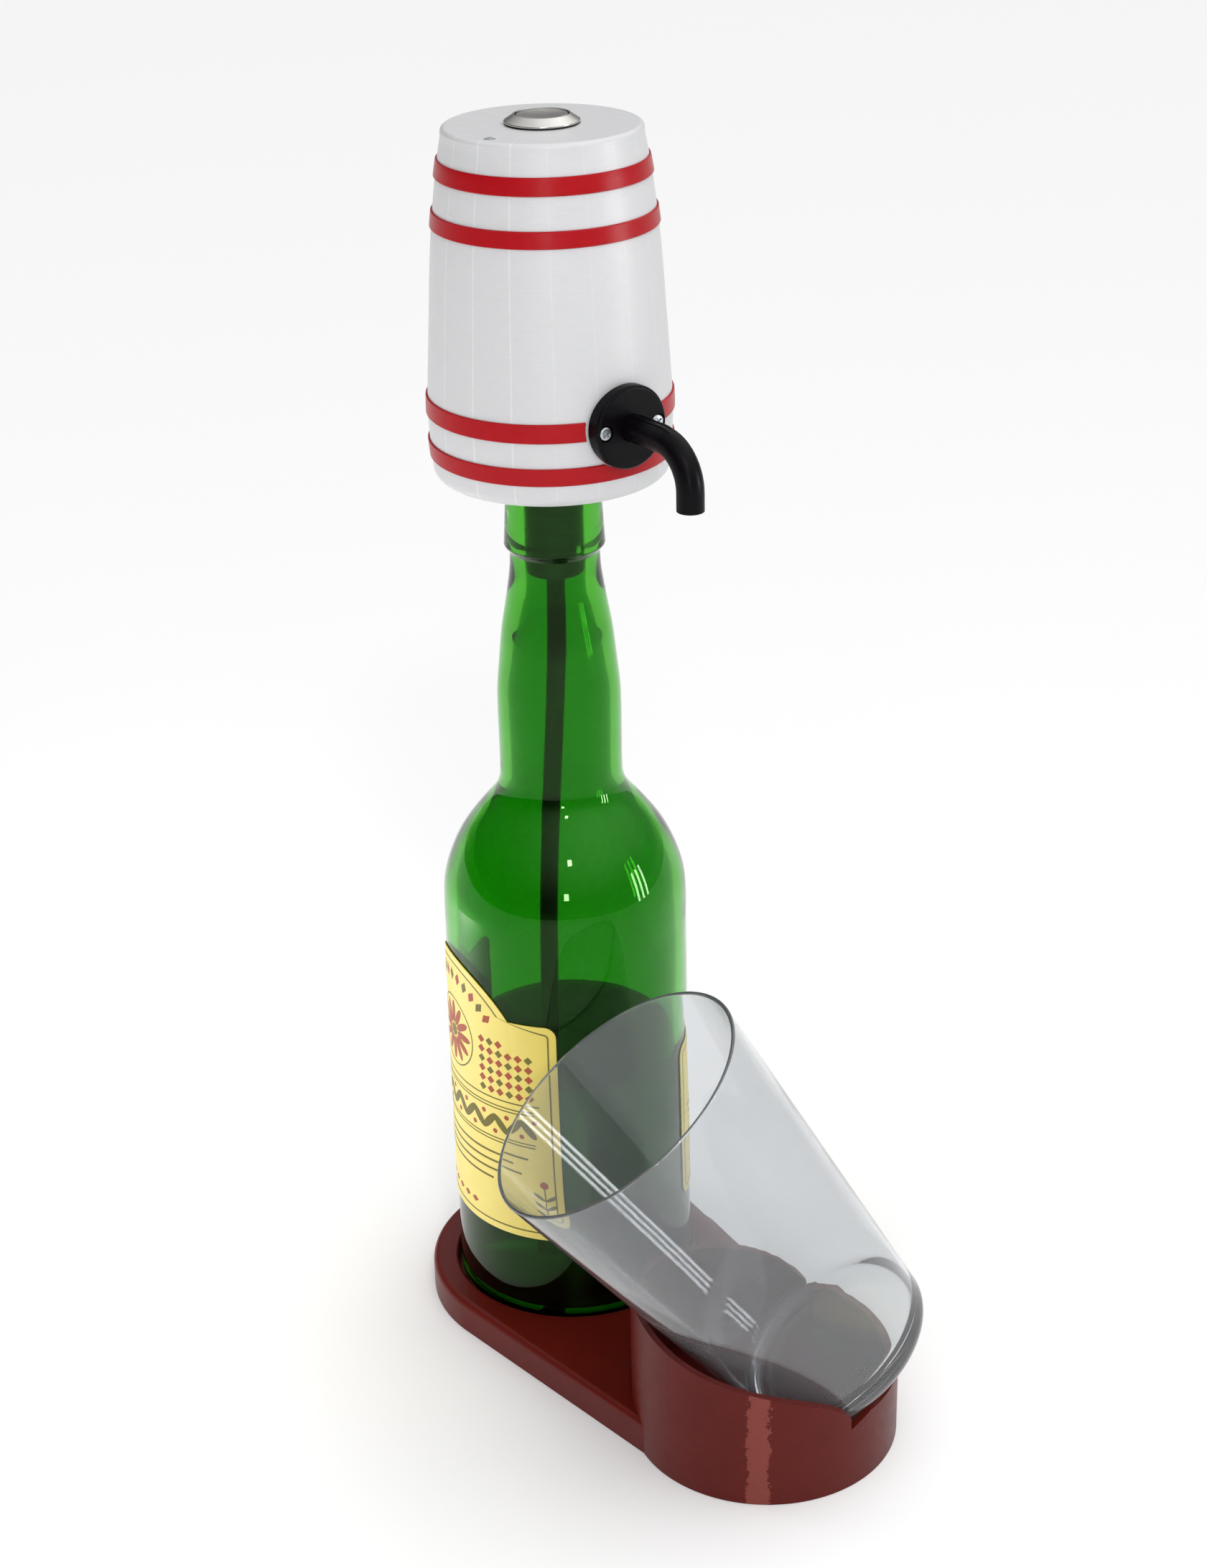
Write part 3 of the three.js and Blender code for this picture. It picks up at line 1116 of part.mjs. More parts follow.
function makeMotor(shaftLow) {
  const here = (geometry) => geometry.translate(pumpAxis.x, pumpAxis.y, 0);
  const inner = motorRadius - motorWall;
  const shaftRoom = motorShaftRadius + slideGap;
  add('motor_can', here(turned([
    [shaftRoom, motorFace - motorBossHeight], [motorBossRadius, motorFace - motorBossHeight],
    [motorBossRadius, motorFace], [motorRadius, motorFace], [motorRadius, motorTop], [inner, motorTop],
    [inner, motorFace + motorWall], [shaftRoom, motorFace + motorWall],
  ], midRoundSteps)), 'steel', chassis);
  const capTop = motorTop + thinGap + motorCapThickness;
  const tab = (side, grow) => block(
    side * motorTabSpread - motorTabWidth / 2 - grow, side * motorTabSpread + motorTabWidth / 2 + grow,
    -motorTabThickness / 2 - grow, motorTabThickness / 2 + grow,
    motorTop + thinGap - grow, capTop + motorTabHeight + grow);
  add('motor_end_cap', here(cut(drum(motorRadius, motorTop + thinGap, capTop, midRoundSteps),
    drum(shaftRoom, motorTop - overrun, capTop + overrun, smallRoundSteps), tab(-1, slideGap / 2),
      tab(1, slideGap / 2))),
  'blackPlastic', chassis);
  add('motor_terminal_left', here(tab(-1, 0)), 'brass', chassis);
  add('motor_terminal_right', here(tab(1, 0)), 'brass', chassis);

  const rotorLow = motorFace + rotorPlace;
  const pole = (angle) => join(
    block(0, rotorRadius - rotorPoleThickness / 2, -rotorNeckWidth / 2, rotorNeckWidth / 2, rotorLow,
      rotorLow + rotorHeight),
    common(ring(rotorRadius, rotorRadius - rotorPoleThickness, rotorLow, rotorLow + rotorHeight,
      roundSteps),
      block(0, rotorRadius, -rotorRadius / 2, rotorRadius / 2, rotorLow - overrun,
        rotorLow + rotorHeight + overrun)),
  ).rotateZ(angle);
  const rotor = join(drum(rotorCoreRadius, rotorLow, rotorLow + rotorHeight, smallRoundSteps),
    drum(commutatorRadius, rotorLow, rotorLow + rotorHeight + commutatorHeight, smallRoundSteps),
    ...[0, 1, 2].map((i) => pole((i * 2 * Math.PI) / 3)));
  add('motor_rotor', here(cut(rotor, drum(motorShaftRadius + thinGap, rotorLow - overrun,
    rotorLow + rotorHeight + commutatorHeight + overrun, smallRoundSteps))), 'copper', chassis);
  add('motor_shaft', here(drum(motorShaftRadius, shaftLow, motorTop + motorCapThickness,
    smallRoundSteps)), 'steel', chassis);

  const magnetOuter = inner - thinGap;
  add('motor_magnet', here(ring(magnetOuter, magnetOuter - magnetThickness, rotorLow,
    rotorLow + rotorHeight, midRoundSteps)),
    'magnet', chassis);
}

function makeBattery() {
  const cellLow = bayLow + bayWall + contactSpace;
  const cellTop = cellLow + cellLength;
  add('battery_cell', join(
    drum(cellRadius, cellLow, cellTop - cellCapHeight, midRoundSteps),
      drum(cellCapRadius, cellLow + cellRadius, cellTop, smallRoundSteps),
  ).translate(0, cellAxisY, 0), 'cellWrap', chassis);
  const plate = (low, bowLow, bowHigh) => join(
    block(-contactWidth / 2, contactWidth / 2, seatGap, cellAxisY + bayLip, low, low + contactThickness),
    block(-contactWidth / 4, contactWidth / 4, cellAxisY - contactWidth / 4, cellAxisY + contactWidth / 4,
      bowLow, bowHigh),
  );
  const lowPlate = bayLow + bayWall + thinGap;
  const highPlate = bayTop - bayWall - thinGap - contactThickness;
  add('battery_contact_bottom', plate(lowPlate, lowPlate, cellLow - thinGap), 'nickel', chassis);
  add('battery_contact_top', plate(highPlate, cellTop + thinGap, highPlate + contactThickness), 'nickel',
    chassis);
}

function makeCharger() {
  const usb = usbPlace();
  const low = coverTop + boardFoot;
  const back = boardStandoff;
  const face = back + boardThickness;
  const chips = [[0, 0.48, 0.34, 0.16], [-0.18, 0.7, 0.2, 0.08], [0.2, 0.68, 0.16, 0.1]]
    .map(([x, z, wide, tall]) => block(
      usb.x + (x - wide / 2) * boardWidth, usb.x + (x + wide / 2) * boardWidth, face - boardThickness / 2,
      face + boardThickness, low + (z - tall / 2) * boardHeight, low + (z + tall / 2) * boardHeight));
  add('charge_board', join(
    block(usb.x - boardWidth / 2, usb.x + boardWidth / 2, back, face, low, low + boardHeight), ...chips,
  ), 'boardBlue', chassis);
  const mouth = coverTop - usbInset;
  const [left, right] = [usb.x - usbWidth / 2, usb.x + usbWidth / 2];
  const shell = block(left, right, usb.y, usb.y + usbThickness, mouth, mouth + usbLength);
  const room = block(left + usbWall, right - usbWall, usb.y + usbWall, usb.y + usbThickness - usbWall,
    mouth - overrun, mouth + usbLength - usbWall);
  const tongue = block(left + usbWidth / 5, right - usbWidth / 5, usb.y + usbThickness / 2 - usbWall,
    usb.y + usbThickness / 2 + usbWall, mouth + usbWall, mouth + usbLength - usbWall / 2);
  add('usb_socket', join(cut(shell, room), tongue), 'steel', chassis);
}

function wire(points, steps) {
  return along(throughPoints(points), wireRadius, 0, steps, wireSides);
}

function makeWires(pinLow, led) {
  const usb = usbPlace();
  const at = (x, y, z) => new THREE.Vector3(x, y, z);
  const lane = boardStandoff + boardThickness + wireRadius + thinGap; // in front of the board
  const boardTop = coverTop + boardFoot + boardHeight;
  const boardEnd = boardTop - boardHeight / 8;
  const clear = wireRadius + slideGap;
  const overBay = bayTop + clear;
  const besideBay = -bayHalfWidth - 2 * clear;
  add('battery_wire_top', wire([at(besideBay + bayWall, cellAxisY, overBay),
    at(besideBay, cellAxisY, bayTop),
    at(besideBay, cellAxisY, (bayTop + boardTop) / 2), at(besideBay, cellAxisY * 0.8, boardTop),
    at(usb.x + boardWidth / 2 - 2 * clear, lane, boardEnd)], 16), 'redWire', chassis);
  const underBay = bayLow - clear;
  const padLow = coverTop + boardFoot + usbLength + clear;
  add('battery_wire_bottom', wire([at(besideBay + bayWall, cellAxisY, underBay),
    at(besideBay - clear, cellAxisY, underBay + clear),
      at(usb.x + boardWidth / 4, cellAxisY * 0.9, padLow - clear),
    at(usb.x, lane, padLow)], 12), 'blackWire', chassis);

  const tabTop = motorTop + thinGap + motorCapThickness + motorTabHeight + clear;
  const overPlate = bayTop - bayOverPlate + clear;
  const down = (x) => [at(x, lane, overPlate - 2 * clear), at(x, lane, (overPlate + boardTop) / 2),
    at(x, lane, boardEnd)];
  const motorLane = usb.x + clear;
  add('motor_wire', wire([at(-motorTabSpread, pumpAxis.y, tabTop),
    at(motorLane * 0.6, pumpAxis.y * 0.6, tabTop + clear),
    at(motorLane * 0.9, -plateThickness, overPlate + clear), ...down(motorLane)], 20), 'blackWire',
      chassis);
  add('switch_motor_wire', wire([at(motorTabSpread, pumpAxis.y, tabTop),
    at(motorTabSpread * 1.8, pumpAxis.y * 0.6, tabTop + clear),
    at(motorTabSpread * 1.6, pumpAxis.y * 0.3, pinLow - 3 * clear),
    chassisPin(1, pinLow - clear)], 14), 'redWire', chassis);
  const switchLane = usb.x - 2 * clear;
  add('switch_board_wire', wire([chassisPin(-1, pinLow - clear), chassisPin(-1.6, pinLow - 2 * clear),
    at(switchLane * 0.8, lane, pinLow - 3 * clear), ...down(switchLane)], 20), 'redWire', chassis);

  // two cores side by side, from the status light round the inside of the wall to the board
  const ledLow = barrelTop - ledBodyLength - clear;
  const start = Math.atan2(led[1], led[0]) - chassisTurn;
  const goal = -Math.PI + THREE.MathUtils.degToRad(-6);
  const around = (share, height) => {
    const angle = THREE.MathUtils.lerp(start, goal, share);
    return at(ledPlace * Math.cos(angle), ledPlace * Math.sin(angle), height);
  };
  const deep = barrelTop - 3 * ledBodyLength;
  const route = throughPoints([around(0, ledLow), around(0.04, ledLow - 3 * clear),
    around(0.3, THREE.MathUtils.lerp(ledLow, deep, 0.4)), around(0.7, deep),
      around(0.95, deep - ledBodyLength),
    at(-ledPlace, lane, (deep + boardTop) / 2), at(-ledPlace, lane, boardEnd)]);
  add('led_wire', along(route, wireRadius, 0, 22, wireSides), 'blackWire', chassis);
}

// Under one of the button's two pins, in the chassis's frame
function chassisPin(side, height) {
  return new THREE.Vector3(side * terminalSpread, 0, height)
    .applyAxisAngle(new THREE.Vector3(0, 0, 1), -chassisTurn);
}

makeStand();
makeBottle();
makeLabels();
makeGlass();
makeStopper();
makeBarrel();
makeHoops();
const buttonPinLow = makeButton();
const ledCentre = makeStatusLight();
makeSpout();
makeInlet();
makeHoses();
makeChassis();
const { shaftLow } = makePump();
makeMotor(shaftLow);
makeBattery();
makeCharger();
makeWires(buttonPinLow, ledCentre);

export default pourer;
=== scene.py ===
import json
import math

import bmesh
import bpy
from bpy.props import FloatProperty, FloatVectorProperty, PointerProperty
from mathutils import Matrix, Vector
from mathutils.geometry import interpolate_bezier


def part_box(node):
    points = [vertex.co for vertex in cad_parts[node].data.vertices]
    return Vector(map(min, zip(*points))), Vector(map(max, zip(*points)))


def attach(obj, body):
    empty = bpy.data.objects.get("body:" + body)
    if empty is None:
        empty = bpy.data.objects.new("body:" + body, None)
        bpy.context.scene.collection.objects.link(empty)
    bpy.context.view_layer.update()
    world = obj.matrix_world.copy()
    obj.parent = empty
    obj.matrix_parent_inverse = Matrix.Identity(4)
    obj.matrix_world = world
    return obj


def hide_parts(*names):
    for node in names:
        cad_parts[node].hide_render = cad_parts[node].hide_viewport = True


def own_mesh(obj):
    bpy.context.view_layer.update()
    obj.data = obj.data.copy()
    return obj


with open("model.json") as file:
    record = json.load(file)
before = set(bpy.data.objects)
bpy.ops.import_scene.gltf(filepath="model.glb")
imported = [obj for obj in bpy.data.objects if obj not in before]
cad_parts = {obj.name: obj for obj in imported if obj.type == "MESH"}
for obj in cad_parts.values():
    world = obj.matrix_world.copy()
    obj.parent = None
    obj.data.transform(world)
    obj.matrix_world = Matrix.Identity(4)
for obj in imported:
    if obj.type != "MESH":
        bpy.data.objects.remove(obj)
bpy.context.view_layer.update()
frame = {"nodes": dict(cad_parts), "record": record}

bl_info = {
    "name": "Electric cider pourer",
    "version": (1, 0, 0),
    "blender": (4, 5, 0),
    "location": "3D View > Sidebar > Cider Pourer",
    "description": "Builds a barrel-shaped cider pourer on its bottle, with the stand and the leaning glass",
    "category": "Add Mesh",
}

METRE = 1000.0  # in millimetres, the unit of every size below
PAST = 2.0  # how far a cutting piece reaches past what it cuts
NEAR = 0.002  # points nearer than this become one
FOLD = 1.5  # width of a label's facet round the bottle

# Sizes shared with the construction, in millimetres
STAND_HEIGHT = 11.5
STAND_END_RADIUS = 50.0
STAND_TOE_RADIUS = 40.7
STAND_EDGE_ROUND = 2.4
POCKET_RADIUS = 41.3
POCKET_FLOOR = 4.0
POCKET_FLARE = 1.1
CUP_PLACE = 103.5
CUP_TURN = math.radians(59.8)
CUP_RADIUS = 43.0
CUP_WALL = 2.6
CUP_FLOOR = 7.5
CUP_RIM = ((-43.0, 52.0), (-30.1, 41.0), (9.9, 43.0), (21.1, 26.0))  # place across the cup, height
CUP_NOTCH = ((21.1, 22.0), (28.1, 25.0))
SEAM_TURN = math.radians(42.5)  # of the print seam down the cup

BOTTLE_FOOT = 4.3
BOTTLE_HEIGHT = 291.9
BOTTLE_RADIUS = 40.0
BOTTLE_WALL = 3.6
BOTTLE_FLOOR = 6.0
BOTTLE_HEEL = 6.0
PUNT_RISE = 5.0
CIDER_EDGE = (0.15, 1.6, 1.2)  # reach into the glass, rounding up to the wall, climb of the edge
SHOULDER = (147.7, 193.7)  # its lower and upper end above the bottle's foot
NECK_TAPER = (220.7, 266.7)  # the same
NECK_RADIUS = 19.8
THROAT_RADIUS = 14.15
LIP_RADIUS = 15.9
LIP_TOP_RADIUS = 14.7
LIP_STEP = 3.6
MOUTH_RADIUS = 9.6
MOUTH_DEPTH = 34.0
# Share of the height passed, share of the radius still to lose
SHOULDER_SHARES = ((0.174, 0.97), (0.348, 0.851), (0.513, 0.668), (0.678, 0.396), (0.843, 0.094),
                   (0.926, 0.02))
NECK_SHARES = ((0.239, 0.823), (0.478, 0.611), (0.639, 0.38), (0.796, 0.168), (0.913, 0.04))

PAPER_INNER = 40.2
PAPER_OUTER = 40.5
FRONT_LABEL_TURN = math.radians(-105.3)
FRONT_LABEL_HALF = 44.5
FRONT_LABEL_HEIGHTS = (41.0, 123.1)
ARCH_HALF = 28.0
ARCH_RISE = 14.7
BACK_LABEL_TURN = math.radians(59.8)
BACK_LABEL_HALF = 20.0
BACK_LABEL_HEIGHTS = (41.9, 100.0)
LABEL_CORNER = 4.0

GLASS_HEIGHT = 126.4
GLASS_RIM_RADIUS = 45.0
GLASS_FOOT_RADIUS = 33.2
GLASS_HEEL = 7.9
GLASS_TAPER = (GLASS_RIM_RADIUS - GLASS_FOOT_RADIUS) / (GLASS_HEIGHT - GLASS_HEEL)
GLASS_WALL = 1.3
GLASS_FLOOR = 7.0
GLASS_INNER_HEEL = 6.0
GLASS_TILT = math.radians(35.8)
GLASS_PLACE = (26.44, -2.4, 24.09)  # in the cup's frame
GLASS_CLEARANCE = 0.4

STOPPER_LOW = 265.0
STOPPER_TOP = 297.7
PLUG_RADIUS = 9.3
PLUG_ROUND = 3.2
STOPPER_FLANGE = (13.4, 1.2)  # radius, thickness
STOPPER_BORE = 4.9
RIB_HEIGHTS = (9.0, 15.5, 22.0)  # above the stopper's foot
RIB_HALF = 0.9
RIB_ROUND = 0.4

BARREL_FOOT = 298.0
BARREL_HEIGHT = 106.4
BARREL_TOP = BARREL_FOOT + BARREL_HEIGHT
BARREL_BELLY = 37.4
BARREL_WALL = 2.4
BARREL_TOP_WALL = 3.0
BARREL_TOP_ROUND = 1.6
BARREL_FOOT_ROUND = 4.0
BARREL_MOUTH = 29.8
STAVE_TURN = math.radians(6.6)  # of the first faint line down the barrel
BARREL_SHARES = (
    (0.037, 0.975), (0.1, 0.99), (0.205, 1.0), (0.3, 0.987), (0.39, 0.971),
    (0.5, 0.951), (0.614, 0.931), (0.72, 0.905), (0.82, 0.872), (0.9, 0.84), (0.972, 0.803),
)
HOOP_SHARES = {
    "hoop_bottom": (0.0697, 0.1212), "hoop_lower": (0.195, 0.2496),
    "hoop_upper": (0.7274, 0.7749), "hoop_top": (0.8659, 0.9154),
}
HOOP_PROUD = 0.6
HOOP_EDGE = 0.25
HOOP_GAP = 0.05
SKIN_INSET = 0.6  # how deep the pad and the bosses sink into the shell
COVER_TOP = 301.0
COVER_GAP = 0.3
BOSS_TURNS = (math.radians(65.0), math.radians(245.0))
BOSS_CIRCLE = 26.4
BOSS_RADIUS = 3.2
BOSS_HEIGHT = 11.0
BOSS_BORE_DEPTH = 8.3
SCREW_BORE = 1.5

BUTTON_HOLE = 9.7
BUTTON_THREAD = (9.0, 9.4, 1.0, 13)  # radius at the root and the crest, pitch, turns
BUTTON_SKIRT = 7.9
BUTTON_DEPTHS = (-15.0, -8.0, -6.0)  # end of the skirt, underside and top of the floor
STEM_RADIUS = 1.9
STEM_HEAD = (2.8, -10.0, -9.3)  # radius, lower and upper face
STEM_HOLE = 2.2
BEZEL_RADIUS = 11.3
BEZEL_TOP_RADIUS = 8.5
BEZEL_HEIGHTS = (0.5, 2.9)  # above the barrel's top
CAP_RADIUS = 7.7
CAP_THICKNESS = 1.6
BUTTON_SPRING = (5.2, 0.4, 4.5)  # radius, wire's radius, curls
LED_PLACE = (7.82, -24.06)
LED_RADIUS = 1.6
LED_DEPTH = 6.5
LED_HOLE = 1.75

SPOUT_LEVEL = 321.8
FLANGE_RADIUS = 12.7
FLANGE_FACE = 41.3
FLANGE_GAP = 0.3  # to the hoops
FLANGE_BEVEL = 1.1
SCREW_SPREAD = 9.6
SCREW_HEAD = (2.2, 1.3)  # radius, height
SCREW_SHANK = (1.2, 8.0)  # radius, length
SCREW_CROSS = (0.6, 2.6, 1.4)  # width, length and depth of a slot
SCREW_GAP = 0.3
SPOUT_RADIUS = 4.15
SPOUT_BORE = 2.5
SPOUT_TIP_X = 68.4
SPOUT_BEND = 13.0
SPOUT_DROP = 18.4
PAD_FACE = 31.4
GASKET = 1.4
FLANGE_BACK = 30.0
NOZZLE_END = 27.0
NOZZLE_RADIUS = 3.2
NOZZLE_BORE = 2.2
SPOUT_HOLE = 3.5
SPOUT_SOCKET = (4.3, 1.8)  # radius, depth
SPOUT_RIDGE = (0.5, 1.0)  # radius of a ridge, distance from the middle
TUBE_RADIUS = 3.0
TUBE_BORE = 2.0
HOSE_BORE = 2.1

# Routes of the flexible pieces, points given one by one
DIP_TUBE_ROUTE = (
    (0, 0, 288), (0, 0, 278), (0, 0, 268), (-0.14, -0.2, 243), (-1.06, -1.49, 213), (-2.33, -3.28, 178.1),
    (-3.25, -4.58, 143.2), (-3.53, -4.98, 113.2), (-3.53, -4.98, 68.2), (-3.53, -4.98, 18.3),
)
INLET_HOSE_ROUTE = (
    (2.05, -4.56, 305.6), (3.05, -6.79, 305.6), (4.22, -9.39, 305.6), (5.63, -12.53, 307.6),
    (6.66, -14.81, 312.3), (6.93, -15.41, 318.7), (6.93, -15.41, 322.4), (6.93, -15.41, 325.8),
)
OUTLET_HOSE_ROUTE = (
    (15.41, -6.93, 325.8), (15.41, -6.93, 322.4), (15.41, -6.93, 318.7), (16.04, -6.58, 311.5),
    (18.69, -5.13, 306.2), (22.34, -3.12, 304.6), (25.73, -1.25, 306.4), (27.62, -0.21, 309.9),
    (28, 0, 312.7), (28, 0, 316.7),
)
CHASSIS_TURN = Matrix.Rotation(math.radians(45), 4, "Z")
# Wires, in the chassis's turned frame
WIRE_ROUTES = {
    "battery_wire_top": ((-11.5, 9.5, 382.2), (-13.1, 9.5, 381.2), (-13.1, 9.5, 355.7), (-13.1, 7.6, 330.2),
                         (-14.4, 3.6, 326.7)),
    "battery_wire_bottom": ((-11.5, 9.5, 308.4), (-14.1, 9.5, 309.4), (-15.65, 8.55, 309.5),
                            (-18.9, 3.6, 310.5)),
    "motor_wire": ((-5, -15.8, 381.7), (-10.74, -9.48, 382.7), (-16.11, -2, 380), (-17.9, 3.6, 377),
                   (-17.9, 3.6, 354.6), (-17.9, 3.6, 326.7)),
    "switch_motor_wire": ((5, -15.8, 381.7), (9, -9.48, 382.7), (8, -4.74, 381.6), (3.25, -3.25, 383.6)),
    "switch_board_wire": ((-3.25, 3.25, 383.6), (-5.2, 5.2, 382.6), (-16.72, 3.6, 381.6), (-20.9, 3.6, 377),
                          (-20.9, 3.6, 354.6), (-20.9, 3.6, 326.7)),
    "led_wire": ((-11.49, -22.54, 396.9), (-12.56, -21.96, 393.9), (-18.71, -17.03, 392.1),
                 (-24.47, -6.42, 384.9), (-25.27, 1.13, 378.4), (-25.3, 3.6, 357.6), (-25.3, 3.6, 326.7)),
}
WIRE_RADIUS = 0.7

# Camera, solved from the photograph
CAMERA_PLACE = (656.4, -465.4, 568.5)
CAMERA_HEADING = math.radians(53.70)
CAMERA_PITCH = 0.438788
CAMERA_ROLL = -0.0228441
CAMERA_LENS = 62.8
CAMERA_SENSOR = 36.0

# Stage, in metres
FLOOR_SIZE = 40.0
FLOOR_LEVEL = -0.0002
PICTURE_RIGHT = (0.578, 0.816, 0)
LIGHTS_AIM = (0.04, 0, 0.2)


def linear(code):
    """Turns an sRGB hex colour into the linear colour that a shader takes."""
    parts = [int(code[i:i + 2], 16) / 255 for i in (1, 3, 5)]
    return tuple(p / 12.92 if p <= 0.04045 else ((p + 0.055) / 1.055) ** 2.4 for p in parts) + (1.0,)


class PourerSizes(bpy.types.PropertyGroup):
    """Sizes of the finish that don't change the construction."""

    cider_level: FloatProperty(
        name="Cider level", description="Height of the cider's surface above the table",
        default=0.098, min=0.02, max=0.15, unit="LENGTH")
    stand_layer: FloatProperty(
        name="Stand layer",
        description="Height of a layer line of the stand, coarser than the printed 0.2 mm",
        default=0.0006, min=0.0001, max=0.002, unit="LENGTH")
    barrel_layer: FloatProperty(
        name="Barrel layer",
        description="Height of a layer line of the barrel, coarser than the printed 0.2 mm",
        default=0.0005, min=0.0001, max=0.002, unit="LENGTH")
    stave_angle: FloatProperty(
        name="Stave angle", description="Angle between two faint lines down the barrel",
        default=math.radians(20), min=0.1, max=1.0, subtype="ANGLE")
    cup_edge: FloatProperty(
        name="Cup edge", description="Rounding of the cup's cut rim",
        default=0.0003, min=0.0001, max=0.0008, unit="LENGTH")
    ink_thickness: FloatProperty(
        name="Ink", description="Thickness of the ink on the labels",
        default=0.00004, min=0.00001, max=0.0001, unit="LENGTH")


class PourerColours(bpy.types.PropertyGroup):
    """Colours of the finishes that show most."""

    stand: FloatVectorProperty(
        name="Stand", description="Red-brown filament of the stand",
        subtype="COLOR", size=4, min=0, max=1, default=linear("#58120b"))
    # the seam's paler colour is a painted highlight: the light glinting on the real print seam
    stand_seam_glint: FloatVectorProperty(
        name="Stand seam", description="Paler print seam down the cup",
        subtype="COLOR", size=4, min=0, max=1, default=linear("#7d3b32"))
    shell: FloatVectorProperty(
        name="Barrel", description="White filament of the barrel",
        subtype="COLOR", size=4, min=0, max=1, default=linear("#cfcfd1"))
    hoop: FloatVectorProperty(
        name="Hoops", description="Red filament of the hoops",
        subtype="COLOR", size=4, min=0, max=1, default=linear("#a60b15"))
    bottle: FloatVectorProperty(
        name="Bottle", description="Tint of the green glass at each of its faces",
        subtype="COLOR", size=4, min=0, max=1, default=linear("#49ae2c"))
    cider: FloatVectorProperty(
        name="Cider", description="Tint of the cider at each of its faces",
        subtype="COLOR", size=4, min=0, max=1, default=linear("#6b7238"))
    paper: FloatVectorProperty(
        name="Label paper", description="Straw-yellow paper of the labels",
        subtype="COLOR", size=4, min=0, max=1, default=linear("#f2dc5e"))
    dark_ink: FloatVectorProperty(
        name="Dark ink", description="Olive-brown ink of rules and leaves",
        subtype="COLOR", size=4, min=0, max=1, default=linear("#6d6420"))
    russet_ink: FloatVectorProperty(
        name="Russet ink", description="Reddish-brown ink of petals and berries",
        subtype="COLOR", size=4, min=0, max=1, default=linear("#a24a2c"))
    black: FloatVectorProperty(
        name="Black plastic", description="Black of the spout and its flange",
        subtype="COLOR", size=4, min=0, max=1, default=linear("#080609"))


def panel_settings():
    """The sizes and the colours that the panel shows."""
    scene = bpy.context.scene
    return scene.pourer_sizes, scene.pourer_colours


def add_node(tree, kind, inputs, into=None, **settings):
    """Adds a node with its settings, sets or links its inputs, and links its first output where asked."""
    node = tree.nodes.new(kind)
    for name, value in settings.items():
        setattr(node, name, value)
    for name, value in inputs.items():
        if isinstance(value, bpy.types.NodeSocket):
            tree.links.new(value, node.inputs[name])
        else:
            node.inputs[name].default_value = value
    if into:
        tree.links.new(node.outputs[0], into)
    return node


def start_material(name, **values):
    """A material with a Principled shader, its tree, the shader, and the place on the object."""
    material = bpy.data.materials.new(name)
    material.use_nodes = True
    tree = material.node_tree
    shader = tree.nodes["Principled BSDF"]
    for key, value in values.items():
        shader.inputs[key.replace("_", " ")].default_value = value
    place = add_node(tree, "ShaderNodeTexCoord", {}).outputs["Object"]
    return material, tree, shader, place


def wave_scale(period):
    """Scale of a Wave texture whose bands lie one period apart, in metres."""
    return 2 * math.pi / (20 * period)


def mottle(tree, shader, place, light, dark, size, detail=3.0):
    """Drives the base colour between two near shades by soft patches of a real size in millimetres."""
    noise = add_node(tree, "ShaderNodeTexNoise", {"Vector": place, "Scale": METRE / size, "Detail": detail})
    mix = add_node(tree, "ShaderNodeMix", {0: noise.outputs["Fac"], 6: dark, 7: light}, data_type="RGBA")
    tree.links.new(mix.outputs[2], shader.inputs["Base Color"])
    return mix


def shade(colour, factor):
    """The same colour, darker or lighter."""
    return tuple(min(c * factor, 1.0) for c in colour[:3]) + (1.0,)


def roughen(tree, shader, place, size, low, high):
    """Lets the roughness wander between two values over patches of a real size in millimetres."""
    noise = add_node(tree, "ShaderNodeTexNoise", {"Vector": place, "Scale": METRE / size, "Detail": 4.0})
    add_node(tree, "ShaderNodeMapRange", {"Value": noise.outputs["Fac"], "To Min": low, "To Max": high},
             shader.inputs["Roughness"])


def relief(tree, shader, place, size, detail, depth, strength=0.5):
    """Waves, fibres or grain of a real size and depth in millimetres."""
    noise = add_node(tree, "ShaderNodeTexNoise", {"Vector": place, "Scale": METRE / size, "Detail": detail})
    add_node(tree, "ShaderNodeBump", {
        "Height": noise.outputs["Fac"], "Distance": depth / METRE, "Strength": strength,
    }, shader.inputs["Normal"])


def printed_layers(tree, shader, place, layer, depth):
    """Level layer lines, their height in metres and depth in millimetres, and a fine grain over them."""
    # the lines are two to three times as far apart as the printer's 0.2 mm layers, so that they show
    wave = add_node(tree, "ShaderNodeTexWave", {
        "Vector": place, "Scale": wave_scale(layer), "Distortion": 0.6, "Detail": 2.0, "Detail Scale": 0.4,
    }, wave_type="BANDS", bands_direction="Z", wave_profile="SIN")
    lined = add_node(tree, "ShaderNodeBump", {
        "Height": wave.outputs["Fac"], "Distance": depth / METRE, "Strength": 0.8,
    }, shader.inputs["Normal"])
    grain = add_node(tree, "ShaderNodeTexNoise", {"Vector": place, "Scale": METRE / 0.9, "Detail": 2.0})
    add_node(tree, "ShaderNodeBump", {
        "Height": grain.outputs["Fac"], "Distance": depth / METRE, "Strength": 0.5}, lined.inputs["Normal"])


def angle_about_z(tree, place):
    """The angle about Z at which a place on the piece lies."""
    axes = add_node(tree, "ShaderNodeSeparateXYZ", {"Vector": place})
    return add_node(tree, "ShaderNodeMath", {0: axes.outputs["Y"], 1: axes.outputs["X"]},
                    operation="ARCTAN2").outputs[0]


